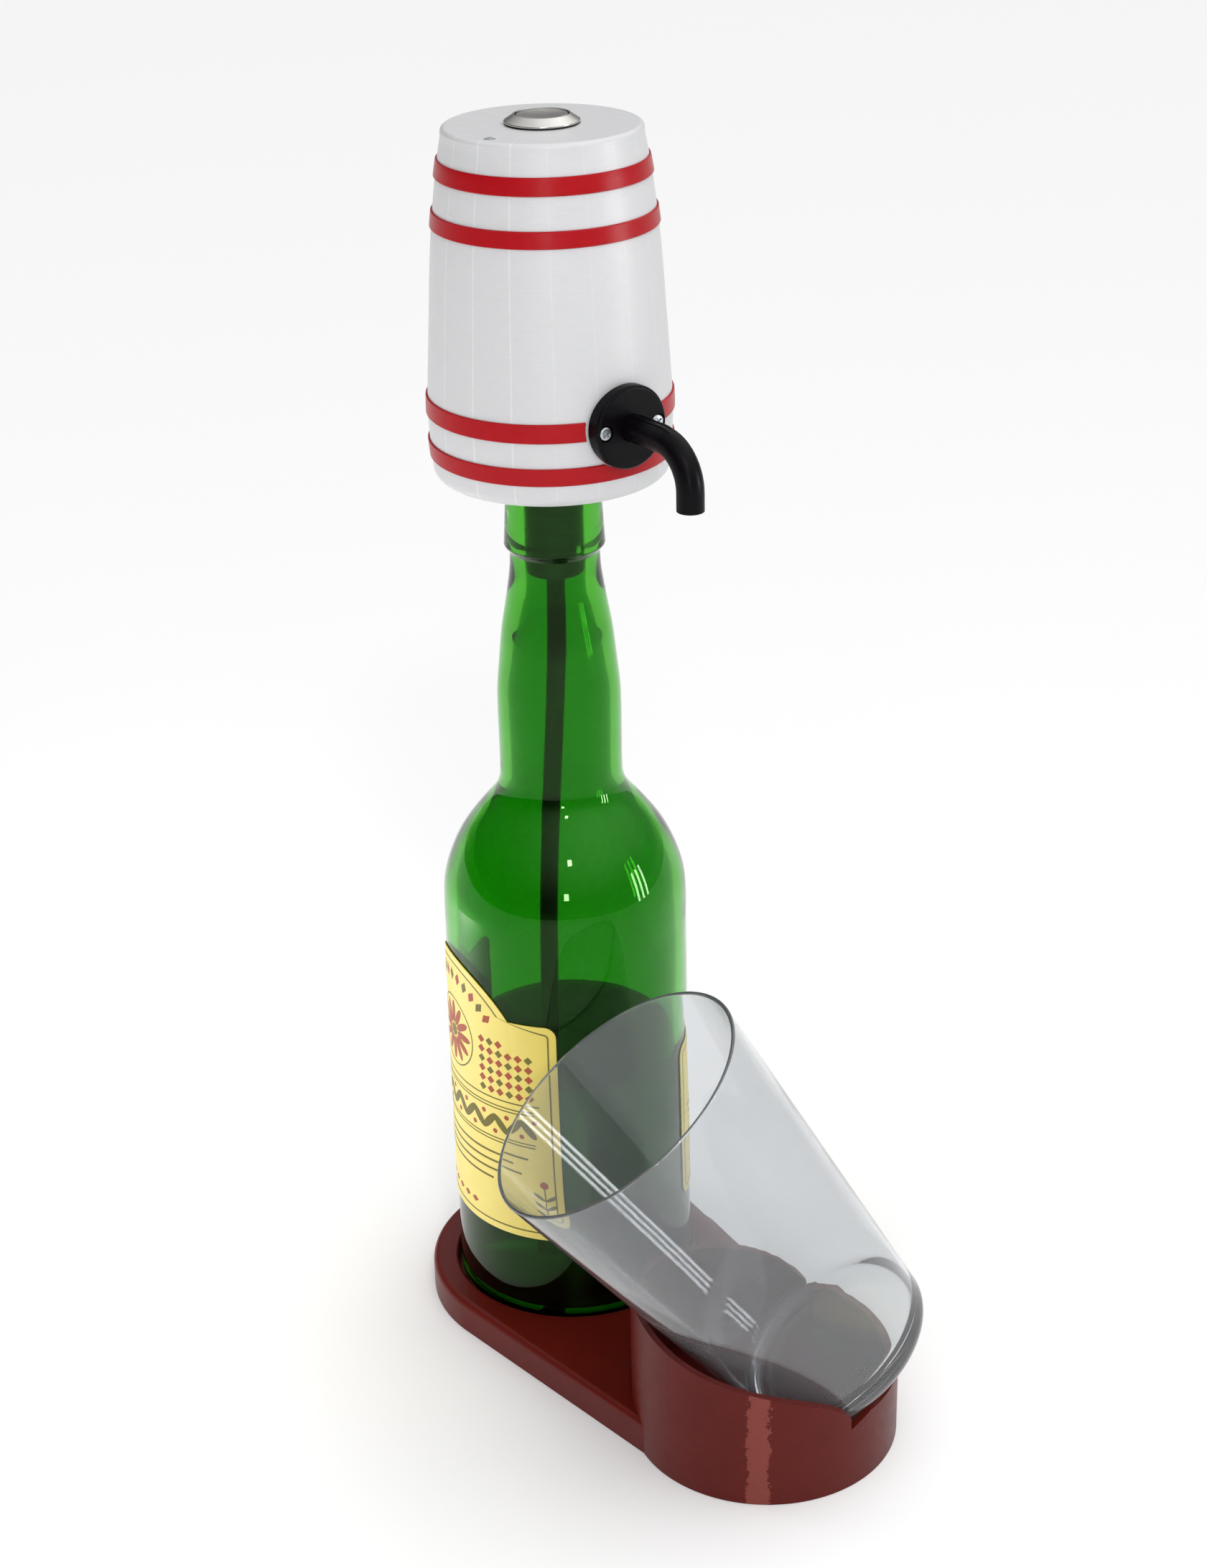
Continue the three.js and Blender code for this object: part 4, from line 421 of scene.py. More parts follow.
def red_brown_print():
    """Glossy PLA, printed: fine level layers catch each light as an upright streak."""
    sizes, colours = panel_settings()
    material, tree, shader, place = start_material(
        "Red-brown PLA, printed in layers", IOR=1.46, Specular_IOR_Level=0.2)
    mix = mottle(tree, shader, place, shade(colours.stand, 1.12), shade(colours.stand, 0.86), 9.0)
    roughen(tree, shader, place, 4.0, 0.27, 0.42)
    printed_layers(tree, shader, place, sizes.stand_layer, 0.035)
    # ragged seam down the cup's wall, where each layer starts, painted paler as a painted highlight of the
    # light glinting on it
    centred = add_node(tree, "ShaderNodeMapping", {"Vector": place, "Location": (-CUP_PLACE / METRE, 0, 0)})
    angle = angle_about_z(tree, centred.outputs["Vector"])
    seam = add_node(tree, "ShaderNodeMath", {0: angle, 1: SEAM_TURN}, operation="ADD")
    away = add_node(tree, "ShaderNodeMath", {0: seam.outputs[0]}, operation="ABSOLUTE")
    ragged = add_node(tree, "ShaderNodeTexNoise", {
        "Vector": place, "Scale": METRE / 3.0, "Detail": 5.0, "Roughness": 0.7})
    width = add_node(tree, "ShaderNodeMapRange", {
        "Value": ragged.outputs["Fac"], "From Min": 0.3, "From Max": 0.7, "To Min": 0.045, "To Max": 0.125})
    inside = add_node(tree, "ShaderNodeMath", {0: width.outputs["Result"], 1: away.outputs[0]},
                      operation="SUBTRACT")
    edge = add_node(tree, "ShaderNodeMapRange", {
        "Value": inside.outputs[0], "From Min": 0.0, "From Max": 0.008})
    reach = add_node(tree, "ShaderNodeVectorMath", {0: centred.outputs["Vector"], 1: (1, 1, 0)},
                     operation="MULTIPLY")
    radius = add_node(tree, "ShaderNodeVectorMath", {0: reach.outputs[0]}, operation="LENGTH")
    wall = add_node(tree, "ShaderNodeMath", {0: radius.outputs["Value"], 1: (CUP_RADIUS - 0.4) / METRE},
                    operation="GREATER_THAN")
    mask = add_node(tree, "ShaderNodeMath", {0: edge.outputs["Result"], 1: wall.outputs[0]},
                    operation="MULTIPLY")
    glinting_seam = add_node(tree, "ShaderNodeMix", {0: mask.outputs[0], 6: mix.outputs[2], 7: colours.stand_seam_glint},
                      data_type="RGBA")
    tree.links.new(glinting_seam.outputs[2], shader.inputs["Base Color"])
    return material


def green_glass():
    """Soda-lime bottle glass, blown in a mould: deep green at its edges, with a slight waviness."""
    tint = panel_settings()[1].bottle
    # the reflections are tinted green and dimmed, as painted shade standing for a dark room in front of the
    # bottle
    material, tree, shader, place = start_material(
        "Green bottle glass, blown", Roughness=0.0, IOR=1.52, Transmission_Weight=1.0,
        Specular_Tint=linear("#9cc98c"))
    mottle(tree, shader, place, shade(tint, 1.02), shade(tint, 0.97), 40.0, 1.0)
    relief(tree, shader, place, 28.0, 1.0, 0.9, 0.35)
    return material


def clear_glass():
    """Thin drinking glass, blown: almost colourless, with a faint milky film from much washing."""
    material, tree, shader, place = start_material(
        "Clear drinking glass, blown", Roughness=0.0, IOR=1.5, Transmission_Weight=0.945)
    mottle(tree, shader, place, linear("#eceef0"), linear("#e6e9ec"), 30.0, 1.0)
    relief(tree, shader, place, 35.0, 0.0, 0.5, 0.25)
    return material


def cloudy_cider():
    """Still natural cider, unfiltered: a dull gold that darkens with depth."""
    tint = panel_settings()[1].cider
    material, tree, shader, place = start_material(
        "Natural cider, unfiltered", Roughness=0.04, IOR=1.34, Transmission_Weight=1.0)
    mottle(tree, shader, place, shade(tint, 1.03), shade(tint, 0.95), 18.0, 2.0)
    return material


def label_paper():
    """Coated label paper, offset printed: smooth and straw yellow, and it glows a little from behind."""
    paper = panel_settings()[1].paper
    material, tree, shader, place = start_material(
        "Label paper, coated", Roughness=0.5, Transmission_Weight=0.15, Coat_Weight=0.15, Coat_Roughness=0.3)
    mottle(tree, shader, place, shade(paper, 1.03), shade(paper, 0.94), 6.0, 6.0)
    # fibres 0.8 mm wide, coarser than real ones so that they show
    relief(tree, shader, place, 0.8, 4.0, 0.02)
    return material


def offset_ink(name, colour):
    """Offset ink on paper: thin and satin, a little uneven where the paper drinks it."""
    material, tree, shader, place = start_material(name, Roughness=0.45)
    mottle(tree, shader, place, shade(colour, 1.25), shade(colour, 0.85), 0.8, 4.0)
    return material


def white_print():
    """White PLA, printed: satin, with fine layers and faint lines at the facets of its outline, painted paler
    as painted highlights.
    """
    sizes, colours = panel_settings()
    material, tree, shader, place = start_material(
        "White PLA, printed in layers", IOR=1.46, Subsurface_Weight=0.08, Subsurface_Scale=0.002)
    mix = mottle(tree, shader, place, shade(colours.shell, 1.01), shade(colours.shell, 0.965), 3.0, 5.0)
    roughen(tree, shader, place, 5.0, 0.3, 0.44)
    printed_layers(tree, shader, place, sizes.barrel_layer, 0.02)
    angle = angle_about_z(tree, place)
    staves = add_node(tree, "ShaderNodeMath", {0: angle, 1: STAVE_TURN}, operation="SUBTRACT")
    turns = add_node(tree, "ShaderNodeMath", {0: staves.outputs[0], 1: sizes.stave_angle / 2},
                     operation="PINGPONG")
    line = add_node(tree, "ShaderNodeMapRange", {
        "Value": turns.outputs[0], "From Min": 0.004, "From Max": 0.011, "To Min": 0.4, "To Max": 0.0})
    breaks = add_node(tree, "ShaderNodeTexNoise", {"Vector": place, "Scale": METRE / 6.0, "Detail": 5.0})
    # painted highlight: the lines are painted plainest on the side where the light catches them, and faint
    # elsewhere
    faint = add_node(tree, "ShaderNodeMapRange", {
        "Value": angle, "From Min": math.radians(-55), "From Max": math.radians(-40),
        "To Min": 1.0, "To Max": 0.3})
    shown = add_node(tree, "ShaderNodeMath", {0: line.outputs["Result"], 1: faint.outputs["Result"]},
                     operation="MULTIPLY")
    kept = add_node(tree, "ShaderNodeMath", {0: shown.outputs[0], 1: breaks.outputs["Fac"]},
                    operation="MULTIPLY")
    lined = add_node(tree, "ShaderNodeMix", {0: kept.outputs[0], 6: mix.outputs[2], 7: linear("#ffffff")},
                     data_type="RGBA")
    tree.links.new(lined.outputs[2], shader.inputs["Base Color"])
    return material


def red_print():
    """Red PLA, printed: satin bands whose layers give an upright glint."""
    sizes, colours = panel_settings()
    material, tree, shader, place = start_material(
        "Red PLA, printed in layers", IOR=1.46, Specular_IOR_Level=0.2)
    mottle(tree, shader, place, shade(colours.hoop, 1.12), shade(colours.hoop, 0.88), 2.5, 5.0)
    roughen(tree, shader, place, 3.0, 0.24, 0.38)
    printed_layers(tree, shader, place, sizes.barrel_layer, 0.02)
    return material


def black_print():
    """Black PLA, printed: semi-gloss, with fine layers that break its highlights up."""
    sizes, colours = panel_settings()
    material, tree, shader, place = start_material(
        "Black PLA, printed in layers", IOR=1.46, Specular_IOR_Level=0.1)
    mottle(tree, shader, place, shade(colours.black, 1.5), shade(colours.black, 0.8), 2.0, 4.0)
    roughen(tree, shader, place, 2.0, 0.22, 0.42)
    printed_layers(tree, shader, place, sizes.barrel_layer, 0.015)
    return material


def black_rubber():
    """Silicone rubber, moulded: matt black with a dry bloom."""
    material, tree, shader, place = start_material("Black silicone rubber, moulded", Roughness=0.6, IOR=1.41)
    mottle(tree, shader, place, linear("#151516"), linear("#0a0a0b"), 4.0)
    # grain 0.5 mm wide, coarser than real so that it shows
    relief(tree, shader, place, 0.5, 2.0, 0.02)
    return material


def milky_hose():
    """Translucent silicone, extruded: milky and soft."""
    material, tree, shader, place = start_material(
        "Milky silicone, extruded", Roughness=0.35, IOR=1.41, Transmission_Weight=0.35, Subsurface_Weight=0.4,
        Subsurface_Scale=0.002)
    mottle(tree, shader, place, linear("#e6e8e6"), linear("#d2d6d4"), 5.0)
    return material


def polished_nickel():
    """Nickel plate, buffed: warm grey and mirror-like, with turning marks."""
    material, tree, shader, place = start_material("Nickel plate, buffed", Metallic=1.0)
    mottle(tree, shader, place, linear("#cfcdc9"), linear("#bcbab6"), 5.0)
    roughen(tree, shader, place, 2.5, 0.16, 0.3)
    # turning marks 0.35 mm apart, coarser than real ones so that they show
    rings = add_node(tree, "ShaderNodeTexWave", {
        "Vector": place, "Scale": wave_scale(0.00035), "Distortion": 0.5, "Detail": 1.0,
    }, wave_type="RINGS", rings_direction="Z", wave_profile="SIN")
    add_node(tree, "ShaderNodeBump", {
        "Height": rings.outputs["Fac"], "Distance": 0.004 / METRE, "Strength": 0.5}, shader.inputs["Normal"])
    return material


def wound_core():
    """Enamelled copper winding on a laminated core: bands of copper and dark varnish."""
    material, tree, shader, place = start_material("Copper winding, enamelled", Metallic=0.8, Roughness=0.35)
    wave = add_node(tree, "ShaderNodeTexWave", {
        "Vector": place, "Scale": wave_scale(0.0004), "Distortion": 0.4,
    }, wave_type="BANDS", bands_direction="Z", wave_profile="SIN")
    mix = add_node(tree, "ShaderNodeMix", {
        0: wave.outputs["Fac"], 6: linear("#5c3018"), 7: linear("#c07a48")}, data_type="RGBA")
    tree.links.new(mix.outputs[2], shader.inputs["Base Color"])
    add_node(tree, "ShaderNodeBump", {
        "Height": wave.outputs["Fac"], "Distance": 0.1 / METRE, "Strength": 0.8}, shader.inputs["Normal"])
    return material


def cell_sleeve():
    """PVC sleeve, heat-shrunk: glossy teal with shrink ripples."""
    material, tree, shader, place = start_material("PVC sleeve, heat-shrunk", Roughness=0.3, IOR=1.53)
    mottle(tree, shader, place, linear("#34899b"), linear("#256e7f"), 8.0)
    relief(tree, shader, place, 6.0, 2.0, 0.12, 0.6)
    return material


def circuit_board():
    """Glass-fibre board with solder mask: blue lacquer with tracks that show as paler lines."""
    material, tree, shader, place = start_material("Glass-fibre board, solder masked", Roughness=0.3, IOR=1.5)
    # tracks 2.4 mm apart, coarser than real ones so that they show
    cells = add_node(tree, "ShaderNodeTexVoronoi", {
        "Vector": place, "Scale": METRE / 2.4, "Randomness": 0.3,
    }, feature="DISTANCE_TO_EDGE", distance="MANHATTAN")
    tracks = add_node(tree, "ShaderNodeMapRange", {
        "Value": cells.outputs["Distance"], "From Min": 0.06, "From Max": 0.1, "To Min": 1.0, "To Max": 0.0})
    mix = add_node(tree, "ShaderNodeMix", {
        0: tracks.outputs["Result"], 6: linear("#1b3d77"), 7: linear("#2f5da2")}, data_type="RGBA")
    tree.links.new(mix.outputs[2], shader.inputs["Base Color"])
    add_node(tree, "ShaderNodeBump", {
        "Height": tracks.outputs["Result"], "Distance": 0.03 / METRE, "Strength": 0.6,
    }, shader.inputs["Normal"])
    return material


FINISHES = {
    "red_brown_print": red_brown_print, "green_glass": green_glass, "clear_glass": clear_glass,
    "label_paper": label_paper, "white_print": white_print, "red_print": red_print,
    "black_plastic": black_print, "black_rubber": black_rubber, "hose_silicone": milky_hose,
    "polished_metal": polished_nickel, "rotor_core": wound_core, "cell_wrap": cell_sleeve,
    "circuit_board": circuit_board,
}
# Bare metals: name, light and dark shade, low and high roughness, length of a scratch in millimetres
METALS = {
    # bluish silver with a faint cloudiness
    "zinc_steel": ("Steel, zinc plated", "#c6c9cc", "#a4a7ab", 0.26, 0.42, 0.4),
    # darker silver with fine level lines
    "steel": ("Steel, cold drawn", "#9a9c9f", "#7d7f83", 0.24, 0.4, 0.5),
    # yellow metal, dulled by handling
    "brass": ("Brass, stamped", "#c39b4a", "#a17c35", 0.25, 0.42, 0.5),
}
# Plastics and a ceramic: name, light and dark shade, roughness, width and depth of the grain in millimetres,
# which is coarser than real, so that it shows
PLASTICS = {
    # light grey with a spark-eroded grain
    "grey_plastic": ("Grey ABS, moulded", "#989ba0", "#82858a", 0.42, 0.4, 0.02),
    # charcoal and slightly pitted
    "ferrite": ("Ferrite, sintered", "#46474b", "#2f3033", 0.55, 0.6, 0.05),
    # red with a waxy gloss
    "red_wire": ("Red PVC sleeve, extruded", "#b9262a", "#971a1e", 0.38, 0.8, 0.02),
    # black with a waxy gloss
    "black_wire": ("Black PVC sleeve, extruded", "#232325", "#141415", 0.38, 0.8, 0.02),
}
made_finishes = {}


def metal(name, light, dark, low, high, scratch):
    """A bare metal with cloudy roughness and level scratches, an eighth as wide as they are long."""
    material, tree, shader, place = start_material(name, Metallic=1.0)
    mottle(tree, shader, place, linear(light), linear(dark), 3.0)
    roughen(tree, shader, place, 1.5, low, high)
    stretched = add_node(tree, "ShaderNodeMapping", {"Vector": place, "Scale": (1.0, 1.0, 8.0)})
    relief(tree, shader, stretched.outputs["Vector"], scratch, 3.0, 0.01, 0.4)
    return material


def plastic(name, light, dark, roughness, grain, depth):
    """A plastic or ceramic with mottled colour and a fine grain."""
    material, tree, shader, place = start_material(name, IOR=1.5)
    mottle(tree, shader, place, linear(light), linear(dark), 4.0)
    roughen(tree, shader, place, 3.0, roughness - 0.06, roughness + 0.08)
    relief(tree, shader, place, grain, 2.0, depth)
    return material


def finish_of(slot):
    """The material for one of the record's slots, made once."""
    if slot not in made_finishes:
        if slot in METALS:
            made_finishes[slot] = metal(*METALS[slot])
        elif slot in PLASTICS:
            made_finishes[slot] = plastic(*PLASTICS[slot])
        else:
            made_finishes[slot] = FINISHES[slot]()
    return made_finishes[slot]


def arc(centre, radius, start, end, steps):
    """Points of a round corner between two angles in degrees, ends included."""
    angles = [math.radians(start + (end - start) * i / steps) for i in range(steps + 1)]
    return [(centre[0] + radius * math.cos(a), centre[1] + radius * math.sin(a)) for a in angles]


def smooth_path(points, steps=6):
    """A centripetal curve through the points, ends included."""
    points = [Vector(point) for point in points]
    chain = [2 * points[0] - points[1], *points, 2 * points[-1] - points[-2]]
    path = []
    for before, start, end, after in zip(chain, chain[1:], chain[2:], chain[3:]):
        first, middle, last = [max((b - a).length, 1e-6) ** 0.5 for a, b in
                               ((before, start), (start, end), (end, after))]
        leaving = (start - before) / first - (end - before) / (first + middle) + (end - start) / middle
        coming = (end - start) / middle - (after - start) / (middle + last) + (after - end) / last
        path += interpolate_bezier(
            start, start + leaving * middle / 3, end - coming * middle / 3, end, steps + 1)[:-1]
    return path + [points[-1]]


def settle(bm):
    """Merges what coincides and turns every face outwards."""
    bmesh.ops.remove_doubles(bm, verts=bm.verts, dist=NEAR)
    bmesh.ops.dissolve_degenerate(bm, dist=NEAR, edges=bm.edges)
    bmesh.ops.recalc_face_normals(bm, faces=bm.faces)
    return bm


def only_verts(geometry):
    """The vertices among the parts that an operator returns."""
    return [part for part in geometry if isinstance(part, bmesh.types.BMVert)]


def turned(profile, steps=96):
    """A solid turned about Z from points of radius and height; an outline off the axis closes on itself."""
    bm = bmesh.new()
    verts = [bm.verts.new((radius, 0, height)) for radius, height in profile]
    closing = verts[:1] if max(profile[0][0], profile[-1][0]) > 0 else []
    edges = [bm.edges.new(pair) for pair in zip(verts, verts[1:] + closing)]
    bmesh.ops.spin(bm, geom=verts + edges, cent=(0, 0, 0), axis=(0, 0, 1), angle=2 * math.pi, steps=steps,
                   use_merge=True)
    return settle(bm)


def rod(radius, low, high, steps=32):
    """A round bar along Z between two heights."""
    bm = bmesh.new()
    bmesh.ops.create_cone(bm, cap_ends=True, segments=steps, radius1=radius, radius2=radius, depth=high - low,
                          matrix=Matrix.Translation((0, 0, (low + high) / 2)))
    return bm


def block(size, centre):
    """A box of three sizes about a centre."""
    bm = bmesh.new()
    bmesh.ops.create_cube(bm, size=1.0, matrix=Matrix.Translation(centre) @ Matrix.Diagonal((*size, 1)))
    return bm


def placed(bm, matrix):
    """Moves and turns a whole mesh."""
    bmesh.ops.transform(bm, matrix=matrix, verts=bm.verts)
    return bm


def moved(bm, x, y, z):
    """Moves a whole mesh by a distance along each axis."""
    return placed(bm, Matrix.Translation((x, y, z)))


def along_x(bm):
    """Turns what was made along Z to look along +X at the spout's level."""
    return placed(bm, Matrix.Translation((0, 0, SPOUT_LEVEL)) @ Matrix.Rotation(math.pi / 2, 4, "Y"))


def swept(path, radius, sides=24, bore=0.0):
    """A round bar or hose along a path, with flat ends."""
    path = [Vector(point) for point in path]
    bm = bmesh.new()
    ends = []
    for size in filter(None, (radius, bore)):
        heading = Vector((0, 0, 1))
        turn = Matrix.Identity(4)
        edges = None
        for i, point in enumerate(path):
            tangent = (path[min(i + 1, len(path) - 1)] - path[max(i - 1, 0)]).normalized()
            turn = heading.rotation_difference(tangent).to_matrix().to_4x4() @ turn
            heading = tangent
            here = Matrix.Translation(point) @ turn
            if edges is None:
                ring = bmesh.ops.create_circle(bm, segments=sides, radius=size, matrix=here)["verts"]
                edges = list({edge for vert in ring for edge in vert.link_edges})
                ends.append(edges)
            else:
                step = bmesh.ops.extrude_edge_only(bm, edges=edges)["geom"]
                verts = only_verts(step)
                edges = [part for part in step if isinstance(part, bmesh.types.BMEdge)
                         and all(vert in verts for vert in part.verts)]
                bmesh.ops.transform(bm, matrix=here @ last.inverted(), verts=verts)
            last = here
        ends.append(edges)
    if bore:
        bmesh.ops.bridge_loops(bm, edges=ends[0] + ends[2])
        bmesh.ops.bridge_loops(bm, edges=ends[1] + ends[3])
    else:
        for edges in ends:
            bmesh.ops.contextual_create(bm, geom=edges)
    return settle(bm)


def merged(*meshes):
    """Puts several meshes into one."""
    first = meshes[0]
    for other in meshes[1:]:
        temporary = bpy.data.meshes.new("merge")
        other.to_mesh(temporary)
        other.free()
        first.from_mesh(temporary)
        bpy.data.meshes.remove(temporary)
    return first


def carved(bm, cutter, operation="DIFFERENCE"):
    """Cuts one solid by another, or joins them, with an exact Boolean."""
    objects = []
    for name, mesh in (("base", bm), ("tool", cutter)):
        data = bpy.data.meshes.new(name)
        mesh.to_mesh(data)
        mesh.free()
        thing = bpy.data.objects.new(name, data)
        bpy.context.scene.collection.objects.link(thing)
        objects.append(thing)
    base, tool = objects
    modifier = base.modifiers.new("carve", "BOOLEAN")
    modifier.object = tool
    modifier.operation = operation
    modifier.solver = "EXACT"
    result = bmesh.new()
    result.from_object(base, bpy.context.evaluated_depsgraph_get())
    for thing in objects:
        data = thing.data
        bpy.data.objects.remove(thing)
        bpy.data.meshes.remove(data)
    if not result.faces:
        raise RuntimeError("a Boolean left nothing")
    return settle(result)


def finish_piece(bm, name, body, slot, replaces=(), material=None, sharp=math.radians(35)):
    """Turns a mesh in millimetres into a finished piece that rides on a body."""
    bmesh.ops.scale(bm, vec=(1 / METRE,) * 3, verts=bm.verts)
    mesh = bpy.data.meshes.new(name)
    bm.to_mesh(mesh)
    bm.free()
    piece = bpy.data.objects.new(name, mesh)
    bpy.context.scene.collection.objects.link(piece)
    mesh.materials.append(material or finish_of(slot))
    mesh.shade_smooth()
    mesh.set_sharp_from_angle(angle=sharp)
    normals = piece.modifiers.new("normals", "WEIGHTED_NORMAL")
    normals.keep_sharp = True
    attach(piece, body)
    if replaces:
        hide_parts(*replaces)
    return piece


def round_edges(piece, width, segments=3, angle=math.radians(40)):
    """Rounds a finished piece's sharp edges by a width in metres."""
    bevel = piece.modifiers.new("edges", "BEVEL")
    piece.modifiers.move(1, 0)
    bevel.width = width
    bevel.segments = segments
    bevel.limit_method = "ANGLE"
    bevel.angle_limit = angle
    bevel.harden_normals = False
    return piece


def glass_frame():
    """Place of the leaning glass: its foot's middle at the origin, its axis along Z."""
    return (Matrix.Translation((CUP_PLACE, 0, 0)) @ Matrix.Rotation(CUP_TURN, 4, "Z")
            @ Matrix.Translation(GLASS_PLACE) @ Matrix.Rotation(-GLASS_TILT, 4, "Y"))


def glass_outline(grow=0.0, height=GLASS_HEIGHT):
    """Outside of the glass from the middle of its foot upwards."""
    heel = arc((GLASS_FOOT_RADIUS - GLASS_HEEL, GLASS_HEEL), GLASS_HEEL + grow, -90, 0, 14)
    return [(0, -grow), *heel, (GLASS_FOOT_RADIUS + grow + GLASS_TAPER * (height - GLASS_HEEL), height)]


def make_stand():
    """The stand: a plate round two circles, the bottle's pocket and the glass's cut-down cup."""
    plate = merged(rod(STAND_END_RADIUS, 0, STAND_HEIGHT, 120),
                   moved(rod(STAND_TOE_RADIUS, 0, STAND_HEIGHT, 120), CUP_PLACE, 0, 0))
    hull = bmesh.ops.convex_hull(plate, input=plate.verts)
    spare = {part for key in ("geom_interior", "geom_unused") for part in hull[key]}
    bmesh.ops.delete(plate, geom=only_verts(spare), context="VERTS")
    bmesh.ops.dissolve_limit(plate, angle_limit=math.radians(0.5), verts=plate.verts, edges=plate.edges)
    rim = [edge for edge in plate.edges if all(vert.co.z > STAND_HEIGHT - 0.01 for vert in edge.verts)]
    bmesh.ops.bevel(plate, geom=rim, offset=STAND_EDGE_ROUND, offset_type="OFFSET", segments=6, profile=0.5,
                    affect="EDGES", material=-1)

    curve = interpolate_bezier(*[Vector(point) for point in CUP_RIM], 33)
    outside = CUP_RADIUS + PAST
    outline = [(-outside, -PAST), (-outside, CUP_RIM[0][1]), *[tuple(point) for point in curve], *CUP_NOTCH,
               (outside, CUP_NOTCH[1][1]), (outside, -PAST)]
    prism = bmesh.new()
    face = prism.faces.new([prism.verts.new((x, -outside, z)) for x, z in outline])
    walls = bmesh.ops.extrude_face_region(prism, geom=[face])["geom"]
    bmesh.ops.translate(prism, vec=(0, 2 * outside, 0), verts=only_verts(walls))
    settle(prism)
    wall = carved(rod(CUP_RADIUS, 0, CUP_RIM[0][1] + PAST, 144), prism, "INTERSECT")
    cup_place = Matrix.Translation((CUP_PLACE, 0, 0)) @ Matrix.Rotation(CUP_TURN, 4, "Z")
    stand = carved(plate, placed(wall, cup_place), "UNION")

    top = STAND_HEIGHT + PAST
    flare = POCKET_RADIUS + POCKET_FLARE
    pocket = turned([
        (0, POCKET_FLOOR), (POCKET_RADIUS, POCKET_FLOOR),
        *arc((flare, STAND_HEIGHT - POCKET_FLARE), POCKET_FLARE, 180, 90, 6), (flare, top), (0, top)], 144)
    hollow = placed(rod(CUP_RADIUS - CUP_WALL, CUP_FLOOR, CUP_RIM[0][1] + 2 * PAST, 144), cup_place)
    room = GLASS_HEIGHT / 2
    glass_room = placed(turned([*glass_outline(GLASS_CLEARANCE, room), (0, room)], 144), glass_frame())
    for cutter in (pocket, hollow, glass_room):
        stand = carved(stand, cutter)
    piece = finish_piece(stand, "stand", "stand", "red_brown_print", ["stand_base"])
    round_edges(piece, panel_settings()[0].cup_edge, 2)


def falling(shares, top_radius, low_radius, low, high):
    """Points of a curve that narrows between two heights."""
    return [(top_radius + left * (low_radius - top_radius), low + passed * (high - low))
            for passed, left in shares]


def punt(foot, low):
    """Rise under the bottle from its middle out to its heel, as points of radius and height."""
    return [tuple(point) for point in smooth_path([
        (0, low + PUNT_RISE), (BOTTLE_RADIUS * 0.3, low + PUNT_RISE * 0.86),
        (BOTTLE_RADIUS * 0.62, low + 0.9), foot], 4)]


def bottle_inside():
    """The bottle's hollow from its mouth down to the middle of its floor, above the foot."""
    body = BOTTLE_RADIUS - BOTTLE_WALL
    neck = NECK_RADIUS - BOTTLE_WALL
    throat = BOTTLE_HEIGHT - MOUTH_DEPTH
    upper = smooth_path([
        (MOUTH_RADIUS, BOTTLE_HEIGHT - 1.5), (MOUTH_RADIUS, throat + 4),
        *falling(NECK_SHARES, MOUTH_RADIUS, neck, NECK_TAPER[0], throat)[::-1],
        (neck, NECK_TAPER[0]), (neck, SHOULDER[1]),
        *falling(SHOULDER_SHARES, neck, body, *SHOULDER)[::-1], (body, SHOULDER[0]), (body, SHOULDER[0] - 8),
    ], 4)
    floor = arc((body - BOTTLE_HEEL, BOTTLE_FLOOR + BOTTLE_HEEL), BOTTLE_HEEL, 0, -90, 8)
    return [tuple(point) for point in upper] + floor + punt(floor[-1], BOTTLE_FLOOR)[-2::-1]


def make_bottle():
    """The bottle: punt, heel, straight body, round shoulder, long neck and a banded lip."""
    throat = NECK_TAPER[1]
    lip = throat + LIP_STEP
    under = punt((BOTTLE_RADIUS - BOTTLE_HEEL, 0), 0)
    heel = arc((BOTTLE_RADIUS - BOTTLE_HEEL, BOTTLE_HEEL), BOTTLE_HEEL, -90, 0, 8)[1:]
    upper = smooth_path([
        (BOTTLE_RADIUS, SHOULDER[0] - 8), (BOTTLE_RADIUS, SHOULDER[0]),
        *falling(SHOULDER_SHARES, NECK_RADIUS, BOTTLE_RADIUS, *SHOULDER),
        (NECK_RADIUS, SHOULDER[1]), (NECK_RADIUS, NECK_TAPER[0]),
        *falling(NECK_SHARES, THROAT_RADIUS, NECK_RADIUS, *NECK_TAPER), (THROAT_RADIUS, throat),
        (THROAT_RADIUS, throat + LIP_STEP / 2),
    ], 4)
    mouth = [
        *arc((LIP_RADIUS - 1.4, lip + 0.8), 1.4, -60, 20, 6),
        (LIP_TOP_RADIUS + 0.1, BOTTLE_HEIGHT - 2.2),
        *arc((LIP_TOP_RADIUS - 1.6, BOTTLE_HEIGHT - 1.6), 1.6, 0, 90, 6),
        *arc((MOUTH_RADIUS + 1.5, BOTTLE_HEIGHT - 1.5), 1.5, 90, 180, 6),
    ]
    profile = under + heel + [tuple(point) for point in upper] + mouth
    bottle = turned(profile + bottle_inside()[1:], 128)
    finish_piece(moved(bottle, 0, 0, BOTTLE_FOOT), "bottle", "bottle", "green_glass", ["cider_bottle"],
                 sharp=math.radians(50))


def make_cider():
    """The cider: it fills the bottle's hollow to its level and reaches a little into the glass."""
    level = panel_settings()[0].cider_level * METRE - BOTTLE_FOOT
    reach, round_up, climb = CIDER_EDGE
    body = BOTTLE_RADIUS - BOTTLE_WALL + reach
    inside = [point for point in bottle_inside() if point[1] < level - 3 and point[1] < SHOULDER[0] - 10]
    grown = [(radius + reach if radius > 0 else 0, height - reach) for radius, height in inside]
    meniscus = arc((body - round_up, level + round_up), round_up, -90, 0, 6)
    surface = [(radius, min(height, level + climb)) for radius, height in meniscus[:-1]]
    cider = turned([(0, level), *surface, (body, level + climb), *grown], 128)
    finish_piece(moved(cider, 0, 0, BOTTLE_FOOT), "cider", "bottle", "green_glass", material=cloudy_cider(),
                 sharp=math.radians(60))


